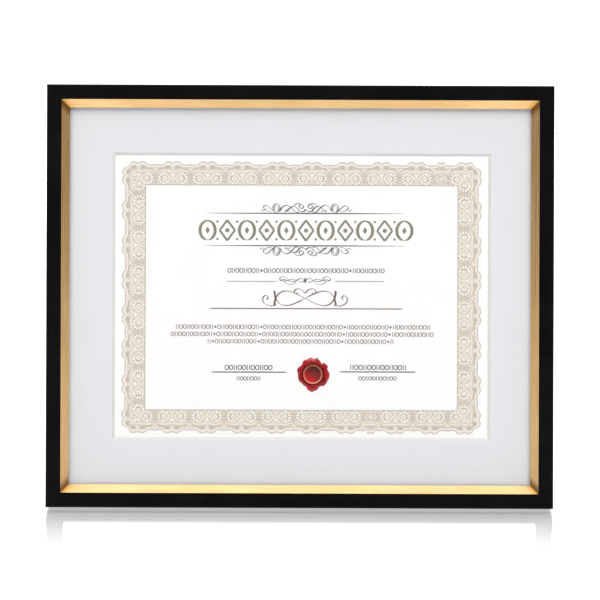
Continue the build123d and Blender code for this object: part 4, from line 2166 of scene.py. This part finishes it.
@dataclass
class WaxSeal:
    """The poured wax seal, with its pressed dish and gilded rim.

    Attributes:
        centre: Its middle on the sheet.
        outline: The angle and radius of each bulge and notch of its edge, in degrees and millimetres.
        underside: How far its underside clears the paper.
        edge_steps: How many parts the poured wax has from the groove to the edge.
        rim_points: How many points the rim's section has.
    """

    centre: Point = (8.33, -55.47)
    rim_inner: float = 5.78
    rim_outer: float = 6.95
    groove_outer: float = 8.3
    rim_top: float = 1.08
    dish_floor: float = 0.52
    groove_floor: float = 0.34
    crest: float = 1.05
    lip: float = 0.16
    turns: int = 216
    underside: float = 0.01
    edge_steps: int = 8
    rim_points: int = 12
    outline: tuple[Point, ...] = (
        (0, 12.0), (19.5, 11.0), (28.5, 12.2), (42, 11.85), (52, 10.1), (67.5, 11.2),
        (75, 12.2), (85.5, 11.0), (97, 12.0), (112, 11.56), (122, 11.8), (140, 10.4),
        (162, 11.7), (179, 10.6), (203, 10.9), (220, 10.1), (239, 10.1), (255, 11.7),
        (267, 12.6), (279, 11.7), (301, 9.95), (317, 11.5), (333, 11.6), (360, 12.0),
    )

    def edge(self, angle: float) -> float:
        """Gives the radius of the wax at an angle, in degrees."""
        return follow(self.outline, angle % 360)

    def height(self, angle: float, share: float) -> float:
        """Gives the height of the poured wax.

        Args:
            angle: The direction from the middle, in degrees.
            share: The way from the groove to the edge, from 0 to 1.

        Returns:
            The height over the paper, in millimetres.
        """
        swell = math.sin(math.pi * min(1.0, 0.12 + 0.88 * share)) ** 0.6 if share < 1 else 0.0
        ripple = 1 + 0.08 * math.sin(math.radians(5 * angle + 40)) + 0.05 * math.sin(math.radians(11 * angle))
        start = self.groove_floor * (1 - share)
        return min(self.crest, max(self.lip, start + (self.crest - 0.3) * swell * ripple))

    def rings(self, angle: float) -> list[Point]:
        """Gives the wax's section at an angle, from the middle out.

        Args:
            angle: The direction from the middle, in degrees.

        Returns:
            Pairs of radius and height, in millimetres.
        """
        section = [(1.6, self.dish_floor - 0.04), (3.4, self.dish_floor - 0.02), (4.8, self.dish_floor)]
        section += [(self.rim_inner + 0.2, self.dish_floor), (self.rim_outer - 0.1, self.groove_floor)]
        section += [(self.groove_outer - 0.4, self.groove_floor - 0.04)]
        edge = self.edge(angle)
        for step in range(self.edge_steps + 1):
            share = step / self.edge_steps
            radius = self.groove_outer + (edge - self.groove_outer) * share
            section.append((radius, self.height(angle, share)))
        section.append((edge - 0.02, self.underside))
        return section

    def point(self, plane: FacePlane, turn: int, radius: float, height: float) -> Vector:
        """Finds a point of the seal.

        Args:
            plane: The surface of the sheet.
            turn: Which of the turns round the middle it lies on.
            radius: Its distance from the middle, in millimetres.
            height: Its height over the paper, in millimetres.

        Returns:
            The point, in metres.
        """
        angle = 2 * math.pi * turn / self.turns
        x = self.centre[0] + radius * math.cos(angle)
        y = self.centre[1] + radius * math.sin(angle)
        return plane.at(x, y, height)

    def build(self, workshop: Workshop) -> None:
        """Makes the wax and its rim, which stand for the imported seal.

        Args:
            workshop: The frame, and what makes its pieces.
        """
        plane = workshop.sheet
        middle = plane.at(*self.centre)
        vertices = [plane.at(*self.centre, self.dish_floor - 0.05)]
        faces: list[tuple[int, ...]] = []
        sections = [self.rings(360 * turn / self.turns) for turn in range(self.turns)]
        count = len(sections[0])
        for turn, section in enumerate(sections):
            vertices.extend(self.point(plane, turn, *place) for place in section)
        for turn in range(self.turns):
            here = 1 + turn * count
            there = 1 + (turn + 1) % self.turns * count
            faces.append((0, here, there))
            for ring in range(count - 1):
                faces.append((here + ring, here + ring + 1, there + ring + 1, there + ring))
        vertices.append(plane.at(*self.centre, self.underside))
        under = len(vertices) - 1
        for turn in range(self.turns):
            here = turn * count + count
            there = (turn + 1) % self.turns * count + count
            faces.append((under, there, here))
        wax = SealingWax("red_wax", workshop.lean, tuple(middle), self.rim_inner * MILLIMETRE)
        seal = workshop.piece("seal_wax", vertices, faces, wax, "red_wax", rounded=True)
        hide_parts("wax_seal")
        self.build_rim(workshop)

    def build_rim(self, workshop: Workshop) -> None:
        """Makes the rounded rim round the dish.

        Args:
            workshop: The frame, and what makes its pieces.
        """
        plane = workshop.sheet
        points = self.rim_points
        middle = (self.rim_inner + self.rim_outer) / 2
        half = (self.rim_outer - self.rim_inner) / 2
        foot = self.groove_floor - 0.05
        vertices: list[Vector] = []
        faces: list[tuple[int, ...]] = []
        for turn in range(self.turns):
            for point in range(points):
                around = math.pi * point / (points - 1)
                radius = middle - half * math.cos(around)
                height = foot + (self.rim_top - foot) * math.sin(around)
                vertices.append(self.point(plane, turn, radius, height))
        for turn in range(self.turns):
            here = turn * points
            there = (turn + 1) % self.turns * points
            for point in range(points):
                after = (point + 1) % points
                faces.append((here + point, here + after, there + after, there + point))
        gilding = GiltWax("gilded_wax", workshop.lean, tuple(plane.at(*self.centre)), middle * MILLIMETRE)
        workshop.piece("seal_rim", vertices, faces, gilding, "red_wax", rounded=True)


@dataclass
class BackFittings:
    """The turn buttons, the sawtooth hanger and their screws and nails."""

    buttons: tuple[str, ...] = (
        "top_left_button", "top_right_button", "bottom_left_button", "bottom_right_button",
        "left_button", "right_button",
    )

    def dress(self, workshop: Workshop) -> None:
        """Gives the fittings their plating.

        Args:
            workshop: The frame, and what makes its pieces.
        """
        workshop.dress(ZincPlate("zinc_buttons"), *self.buttons)
        screws = ZincPlate("zinc_screws", pale=(0.78, 0.79, 0.80, 1.0))
        workshop.dress(screws, "button_screws", "hanger_nails")
        workshop.dress(BrassPlate("brass_hanger"), "sawtooth_hanger")


@dataclass
class EaselLeg:
    """The folding leg with its hinge and rivets."""

    def dress(self, workshop: Workshop) -> None:
        """Gives the leg its pebbled paper and the hinge its plating.

        Args:
            workshop: The frame, and what makes its pieces.
        """
        workshop.dress(PebbledPaper("pebbled_paper"), "easel_leg")
        workshop.dress(ZincPlate("zinc_hinge"), "hinge_base_leaf", "hinge_leg_leaf", "hinge_pin")
        workshop.dress(ZincPlate("zinc_rivets", pale=(0.80, 0.80, 0.80, 1.0)), "base_rivets", "leg_rivets")


@dataclass
class FloorFinish:
    """The pale floor: white to the camera, with the frame's shadow and a mirror image that fades.

    Attributes:
        contact: The place in Y where the frame touches the floor, in metres.
        half_width: Half the frame's width, in metres.
        mirror_reach: How far in front of the frame the floor mirrors it, in metres.
        side_width: The width of the side rails' image at the frame, in metres.
        side_spread: How much that width grows with each metre in front.
        band_shares: How much the floor mirrors in the middle, from its far end to the band's edge.
        side_shares: The same under the side rails.
        near_shares: The same close to the frame, for both.
        far_light: The distances at which the floor starts and ends to grow as white as the room.
        rear_fade: The width of the mirror's soft edge behind the frame, in metres.
        rail_fade: The same at the side rails' image.
        side_fade: The same beside the frame.
    """

    name: str
    contact: float
    half_width: float
    colour: Colour = (0.90, 0.90, 0.90, 1.0)
    seen_light: float = 0.62
    mirrored_light: float = 0.15
    mirror_reach: float = 0.11
    side_width: float = 0.0115
    side_spread: float = 0.1
    band_shares: tuple[Point, ...] = ((0.0, 0.0), (0.6, 0.0), (0.655, 0.4), (0.7, 0.6))
    side_shares: tuple[Point, ...] = ((0.0, 0.0), (0.06, 0.37), (0.37, 0.467), (0.7, 0.6))
    near_shares: tuple[Point, ...] = ((0.8, 0.637), (0.853, 0.55), (0.906, 0.22), (1.0, 0.14))
    far_light: Span = (0.35, 1.1)
    rear_fade: float = 0.01
    rail_fade: float = 0.001
    side_fade: float = 0.004
    grain: Pattern = (300, 3)
    grain_shade: float = 0.99

    def material(self) -> bpy.types.Material:
        """Makes the material.

        Returns:
            The material.
        """
        shading = Shading(self.name)
        own = shading.place()
        parts = shading.add("ShaderNodeSeparateXYZ", {0: own}).outputs
        distance = shading.add("ShaderNodeVectorMath", {0: own}, operation="LENGTH").outputs["Value"]
        grain = shading.noise(own, *self.grain)
        paint = shading.tones(grain, shaded(self.colour, self.grain_shade), self.colour)
        matte = shading.add("ShaderNodeBsdfDiffuse", {"Color": paint}).outputs[0]
        path = shading.add("ShaderNodeLightPath").outputs
        near_light = shading.between(path["Is Camera Ray"], self.mirrored_light, self.seen_light)
        far = shading.between(distance, 0.0, 1.0, *self.far_light)
        strength = shading.math("MAXIMUM", near_light, far)
        glow = shading.add("ShaderNodeEmission", {"Color": WHITE, "Strength": strength}).outputs[0]
        lit = shading.add("ShaderNodeAddShader", {0: matte, 1: glow}).outputs[0]
        polished = shading.add("ShaderNodeBsdfGlossy", {"Color": WHITE, "Roughness": 0.0}).outputs[0]
        reach = shading.between(parts["Y"], 0.0, 1.0, self.contact - self.mirror_reach, self.contact)
        band, side = (
            shading.ramp(reach, [(place, (share, share, share, 1.0)) for place, share in shares])
            for shares in (self.band_shares + self.near_shares, self.side_shares + self.near_shares)
        )
        under = shading.between(parts["Y"], 1.0, 0.0, self.contact, self.contact + self.rear_fade)
        sideways = shading.math("ABSOLUTE", parts["X"])
        rail_edge = self.half_width - self.side_width
        ahead = shading.math("SUBTRACT", self.contact, parts["Y"])
        spread = shading.math("MULTIPLY", ahead, self.side_spread)
        outwards = shading.math("ADD", sideways, spread)
        beside = shading.between(outwards, 0.0, 1.0, rail_edge, rail_edge + self.rail_fade)
        shares = shading.mix(beside, band, side)
        aside = shading.between(sideways, 1.0, 0.0, self.half_width, self.half_width + self.side_fade)
        faded = shading.math("MULTIPLY", shares, shading.math("MULTIPLY", under, aside))
        shown = shading.add("ShaderNodeMixShader", {0: faded, 1: lit, 2: polished}).outputs[0]
        seen = shading.math("MAXIMUM", path["Is Camera Ray"], path["Is Glossy Ray"])
        seen = shading.math("MAXIMUM", seen, path["Is Transmission Ray"])
        surface = shading.add("ShaderNodeMixShader", {0: seen, 1: matte, 2: shown}).outputs[0]
        return shading.close_with(surface)


@dataclass(frozen=True)
class SoftBox:
    """A rectangular lamp that looks at the middle of the frame.

    Attributes:
        name: Its name.
        sideways: Metres to the right of the frame's middle.
        upwards: Metres up the face.
        forwards: Metres out of the face.
        width: Its width in metres.
        height: Its height in metres.
        power: Its power in watts.
    """

    name: str
    sideways: float
    upwards: float
    forwards: float
    width: float
    height: float
    power: float

    def build(self, plane: FacePlane) -> None:
        """Hangs the lamp.

        Args:
            plane: The plane of the frame's face.
        """
        light = bpy.data.lights.new(self.name, "AREA")
        light.shape = "RECTANGLE"
        light.size = self.width
        light.size_y = self.height
        light.energy = self.power
        lamp = bpy.data.objects.new(self.name, light)
        metre = 1 / MILLIMETRE
        lamp.location = plane.at(self.sideways * metre, self.upwards * metre, self.forwards * metre)
        lamp.rotation_euler = (plane.centre - lamp.location).to_track_quat("-Z", "Y").to_euler()
        bpy.context.scene.collection.objects.link(lamp)


@dataclass
class Studio:
    """The camera, the lamps, the world and the floor.

    Attributes:
        below_middle: How far under the middle of the face the camera aims, in metres.
        distance: The camera's distance from the face, in metres.
        lens: The camera's lens in millimetres.
        roll: The turn of the photograph, clockwise, in degrees.
        floor_half: Half the floor's width, in metres.
        light_above: The world's least and greatest light by height, and the heights of both.
        light_behind: The same by depth, from the front to the back.
    """

    below_middle: float = 0.0024
    distance: float = 1.5
    lens: float = 127.0
    roll: float = 0.21
    floor_half: float = 9.0
    light_above: tuple[float, ...] = (0.16, 1.08, 0.25, 0.95)
    light_behind: tuple[float, ...] = (0.06, 0.96, -0.85, -0.25)
    lamps: tuple[SoftBox, ...] = (
        SoftBox("top_box", 0.0, 1.95, 2.2, 3.2, 1.5, 60.0),
        SoftBox("crown_box", 0.0, 1.5, -0.08, 1.4, 0.6, 5.0),
        SoftBox("left_box", -1.4, -0.5, 1.3, 1.6, 1.8, 5.7),
        SoftBox("right_box", 1.4, -0.5, 1.3, 1.6, 1.8, 5.2),
    )

    def build_camera(self, plane: FacePlane) -> None:
        """Stands the camera square to the face, as the photograph was taken.

        Args:
            plane: The plane of the frame's face.
        """
        camera = bpy.data.objects.new("portrait_camera", bpy.data.cameras.new("portrait_camera"))
        camera.data.lens = self.lens
        camera.data.sensor_width = 36.0
        camera.data.clip_start = 0.05
        camera.data.clip_end = 60.0
        turn = math.radians(self.roll)
        up = plane.rise * math.cos(turn) - plane.across * math.sin(turn)
        right = plane.across * math.cos(turn) + plane.rise * math.sin(turn)
        target = plane.centre - plane.rise * self.below_middle
        stand = target + plane.front * self.distance
        axes = Matrix((right, up, plane.front)).transposed().to_4x4()
        camera.matrix_world = Matrix.Translation(stand) @ axes
        bpy.context.scene.collection.objects.link(camera)
        bpy.context.scene.camera = camera

    def build_world(self) -> None:
        """Makes the surroundings: a studio that is bright above and behind, and dim in front.

        The camera sees them white, and so does the floor's sharp mirror.
        """
        world = bpy.data.worlds.new("studio_world")
        bpy.context.scene.world = world
        world.use_nodes = True
        graph = Graph(world.node_tree)
        direction = graph.add("ShaderNodeTexCoord").outputs["Generated"]
        parts = graph.add("ShaderNodeSeparateXYZ", {0: direction}).outputs
        above = graph.between(parts["Z"], *self.light_above, easing="SMOOTHSTEP")
        behind = graph.between(parts["Y"], *self.light_behind, easing="SMOOTHSTEP")
        strength = graph.math("MULTIPLY", above, behind)
        room = graph.add("ShaderNodeBackground", {"Color": WHITE, "Strength": strength}).outputs[0]
        white = graph.add("ShaderNodeBackground", {"Color": WHITE}).outputs[0]
        path = graph.add("ShaderNodeLightPath").outputs
        seen = graph.math("MAXIMUM", path["Is Camera Ray"], path["Is Singular Ray"])
        shown = graph.add("ShaderNodeMixShader", {0: seen, 1: room, 2: white}).outputs[0]
        graph.add("ShaderNodeOutputWorld", {"Surface": shown})

    def build_floor(self, workshop: Workshop, contact: float) -> None:
        """Lays the floor under the frame.

        Args:
            workshop: The frame, and what makes its pieces.
            contact: Where the frame touches the floor, in Y.
        """
        half = self.floor_half
        mesh = bpy.data.meshes.new("studio_floor")
        corners = [(-half, -half, 0), (half, -half, 0), (half, half, 0), (-half, half, 0)]
        mesh.from_pydata(corners, [], [(0, 1, 2, 3)])
        mesh.materials.append(workshop.material(FloorFinish("white_floor", contact, workshop.half_width)))
        floor = bpy.data.objects.new("studio_floor", mesh)
        bpy.context.scene.collection.objects.link(floor)

    def build(self, workshop: Workshop) -> None:
        """Sets the whole studio up.

        Args:
            workshop: The frame, and what makes its pieces.
        """
        sides = (workshop.nodes[name] for name in ("left_rail", "right_rail"))
        left, right = (FacePlane.over(rail, workshop.front) for rail in sides)
        plane = FacePlane((left.centre + right.centre) / 2, left.across, left.rise, workshop.front)
        contact = min(workshop.nodes["bottom_rail"].data.vertices, key=lambda vertex: vertex.co.z).co.y
        self.build_camera(plane)
        self.build_world()
        self.build_floor(workshop, contact)
        for lamp in self.lamps:
            lamp.build(plane)
        bpy.context.scene.view_settings.view_transform = "Standard"
        LOG.info("studio: %d lamps, lens %.0f mm", len(self.lamps), self.lens)


def main() -> None:
    """Dresses the frame, piece by piece, and sets up the studio."""
    logging.basicConfig(level=logging.INFO, format="%(name)s: %(message)s")
    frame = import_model()
    workshop = Workshop(frame)
    for assembly in (Mouldings(), SheetPack(), BackFittings(), EaselLeg()):
        assembly.dress(workshop)
    for assembly in (GlassPane(), LaceBorder(), Heading(), SmallPrint(), WaxSeal()):
        assembly.build(workshop)
    Studio().build(workshop)


if __name__ == "__main__":
    main()
